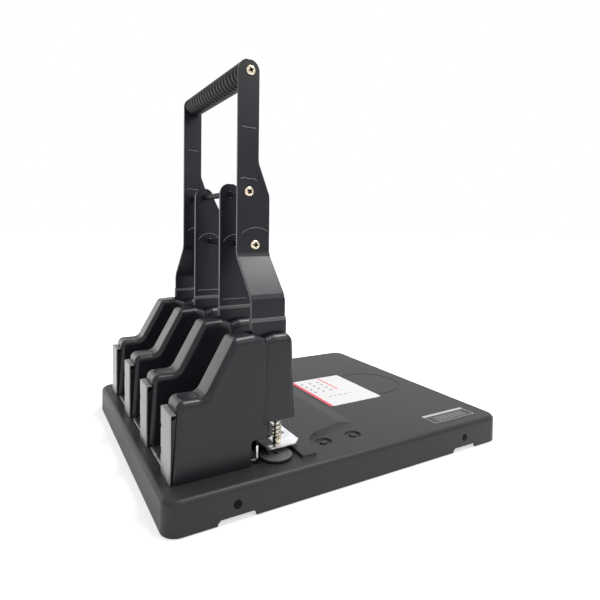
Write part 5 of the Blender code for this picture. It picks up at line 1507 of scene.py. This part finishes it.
def build_camera():
    camera = bpy.data.cameras.new("camera")
    camera.lens = CAMERA_LENS_MM
    camera.sensor_width = CAMERA_SENSOR_MM
    camera.shift_x, camera.shift_y = CAMERA_SHIFT
    camera.clip_start = CAMERA_NEAR
    turn = Matrix((CAMERA_RIGHT, CAMERA_UP, tuple(-value for value in CAMERA_FORWARD))).transposed().to_4x4()
    obj = linked("camera", camera)
    obj.matrix_world = Matrix.Translation(CAMERA_AT) @ turn
    bpy.context.scene.camera = obj


def area_light(name, at, aim, size, power):
    """A rectangular lamp at a place, turned to face what it lights."""
    light = bpy.data.lights.new(name, "AREA")
    light.shape, light.size, light.size_y = "RECTANGLE", *size
    light.energy = power
    obj = linked(name, light)
    obj.location = at
    obj.rotation_euler = (Vector(aim) - Vector(at)).to_track_quat("-Z", "Y").to_euler()


def sees_background(tree):
    """1 for camera, glossy and transmission rays."""
    path = tree.nodes.new("ShaderNodeLightPath")
    total = path.outputs["Is Camera Ray"]
    for name in ("Is Glossy Ray", "Is Transmission Ray"):
        add = tree.nodes.new("ShaderNodeMath")
        add.operation = "MAXIMUM"
        tree.links.new(total, add.inputs[0])
        tree.links.new(path.outputs[name], add.inputs[1])
        total = add.outputs[0]
    return total


WORLD_FILL = 0.36
FLOOR_GLOW_NEAR = 0.58
FLOOR_GLOW_FAR = 0.75
FLOOR_GLOW_FROM = (0.30, 0.62)
FLOOR_RADIUS = 6.0
FLOOR_FLAT = 3.0
FLOOR_RISE = 0.02
FLOOR_DROP = 0.00005
FLOOR_TONES = ((0.86, 0.86, 0.86), (0.89, 0.89, 0.89))
FLOOR_ROUGH = 0.9
FLOOR_GLOSS = 0.1
WHITE = (1.0, 1.0, 1.0, 1.0)


def build_world():
    world = bpy.data.worlds.new("studio")
    world.use_nodes = True
    tree = world.node_tree
    back = tree.nodes["Background"]
    strength = tree.nodes.new("ShaderNodeMapRange")
    tree.links.new(sees_background(tree), strength.inputs["Value"])
    strength.inputs["To Min"].default_value = WORLD_FILL
    strength.inputs["To Max"].default_value = 1.0
    tree.links.new(strength.outputs["Result"], back.inputs["Strength"])
    back.inputs["Color"].default_value = WHITE
    bpy.context.scene.world = world


def build_floor(rings=24, sides=64):
    """A wide low dish, flat near by and rising far away with the square of the distance. It is pale, and
    whiter to the camera than to the object."""
    radius = np.linspace(0.0, 1.0, rings)[:, None] ** 2 * FLOOR_RADIUS
    turn = full_turn(sides)[None]
    height = np.where(radius > FLOOR_FLAT, FLOOR_RISE * (radius - FLOOR_FLAT) ** 2, 0.0) * np.ones_like(turn)
    points = np.stack([radius * np.cos(turn), radius * np.sin(turn), height - FLOOR_DROP], -1)
    mesh = bpy.data.meshes.new("floor")
    mesh.from_pydata(points.reshape(-1, 3).tolist(), [], grid_faces(rings, sides).tolist())
    mesh.shade_smooth()
    floor = linked("floor", mesh)
    made = Nodes("floor")
    away = made.add("ShaderNodeVectorMath", Vector=made.place((1.0, 1.0, 0.0)))
    away.operation = "LENGTH"
    far = made.ramp(away.outputs["Value"], FLOOR_GLOW_FROM)
    made.join(made.mix(made.ramp(made.noise(FLOOR_CLOUD), SOFT), *FLOOR_TONES), "Base Color")
    glow = made.ramp(far, (0.0, 1.0), (FLOOR_GLOW_NEAR, FLOOR_GLOW_FAR))
    made.join(made.times(sees_background(made.tree), glow), "Emission Strength")
    made.set(Roughness=FLOOR_ROUGH, Specular_IOR_Level=FLOOR_GLOSS, Emission_Color=WHITE)
    mesh.materials.append(made.material)


# Lamps: name, place, what it faces, width and height, and power
LAMPS = (
    ("overhead", (0.15, 0.38, 1.3), (0.12, 0.05, 0.1), (0.5, 0.6), 16.0),
    ("near side", (1.3, -0.9, 1.1), (0.0, 0.0, 0.12), (1.0, 1.0), 3.0),
    ("front right", (1.05, 0.5, 0.9), (0.05, -0.1, 0.15), (0.45, 0.45), 2.2),
    ("far left", (-1.05, -0.67, 0.33), (0.05, -0.13, 0.12), (0.6, 0.6), 1.7),
)


def build_stage():
    build_floor()
    build_world()
    build_camera()
    for lamp in LAMPS:
        area_light(*lamp)
    bpy.context.scene.view_settings.view_transform = "Standard"


# Operators and panel


class PUNCH_OT_base(bpy.types.Operator):
    """Build the base housing with its platform, recesses and notches"""

    bl_idname = "punch.base"
    bl_label = "Base"

    def execute(self, context):
        build_base()
        return {"FINISHED"}


class PUNCH_OT_covers(bpy.types.Operator):
    """Build the four head covers"""

    bl_idname = "punch.covers"
    bl_label = "Head covers"

    def execute(self, context):
        build_covers()
        return {"FINISHED"}


class PUNCH_OT_grip(bpy.types.Operator):
    """Build the ribbed grip"""

    bl_idname = "punch.grip"
    bl_label = "Grip"

    def execute(self, context):
        build_grip()
        return {"FINISHED"}


class PUNCH_OT_screws(bpy.types.Operator):
    """Build the six cross-recessed screws"""

    bl_idname = "punch.screws"
    bl_label = "Screws"

    def execute(self, context):
        build_screws()
        return {"FINISHED"}


class PUNCH_OT_springs(bpy.types.Operator):
    """Build the return springs and the bushes that they stand on"""

    bl_idname = "punch.springs"
    bl_label = "Springs"

    def execute(self, context):
        build_springs()
        build_bushes()
        return {"FINISHED"}


class PUNCH_OT_discs(bpy.types.Operator):
    """Build the four cutting discs"""

    bl_idname = "punch.discs"
    bl_label = "Discs"

    def execute(self, context):
        build_discs()
        return {"FINISHED"}


class PUNCH_OT_metal(bpy.types.Operator):
    """Round the edges of arms, feet and plates, and lay the thin lines on the arms"""

    bl_idname = "punch.metal"
    bl_label = "Sheet metal"

    def execute(self, context):
        build_sheet_metal()
        build_arm_lines()
        return {"FINISHED"}


class PUNCH_OT_finishes(bpy.types.Operator):
    """Give every carried-over node the finish of its slot"""

    bl_idname = "punch.finishes"
    bl_label = "Finishes"

    def execute(self, context):
        dress_cad_nodes()
        return {"FINISHED"}


class PUNCH_OT_stage(bpy.types.Operator):
    """Build the floor, the light and the camera"""

    bl_idname = "punch.stage"
    bl_label = "Stage"

    def execute(self, context):
        build_stage()
        return {"FINISHED"}


OPERATORS = (PUNCH_OT_finishes, PUNCH_OT_base, PUNCH_OT_covers, PUNCH_OT_grip, PUNCH_OT_screws,
             PUNCH_OT_springs, PUNCH_OT_discs, PUNCH_OT_metal, PUNCH_OT_stage)


class PUNCH_PT_panel(bpy.types.Panel):
    """Sizes, colours and build steps of the punch"""

    bl_idname = "PUNCH_PT_panel"
    bl_label = "Punch"
    bl_space_type = "VIEW_3D"
    bl_region_type = "UI"
    bl_category = "Punch"

    def draw(self, context):
        for group in (context.scene.punch_sizes, context.scene.punch_colours):
            for name in group.bl_rna.properties.keys():
                if name not in ("rna_type", "name"):
                    self.layout.prop(group, name)
        for operator in OPERATORS:
            self.layout.operator(operator.bl_idname)


CLASSES = (PunchSizes, PunchColours, *OPERATORS, PUNCH_PT_panel)


def register():
    for kind in CLASSES:
        bpy.utils.register_class(kind)
    bpy.types.Scene.punch_sizes = bpy.props.PointerProperty(type=PunchSizes)
    bpy.types.Scene.punch_colours = bpy.props.PointerProperty(type=PunchColours)


def unregister():
    del bpy.types.Scene.punch_sizes
    del bpy.types.Scene.punch_colours
    for kind in reversed(CLASSES):
        bpy.utils.unregister_class(kind)


def main():
    register()
    for operator in OPERATORS:
        group, name = operator.bl_idname.split(".")
        getattr(getattr(bpy.ops, group), name)()


if __name__ == "__main__":
    main()
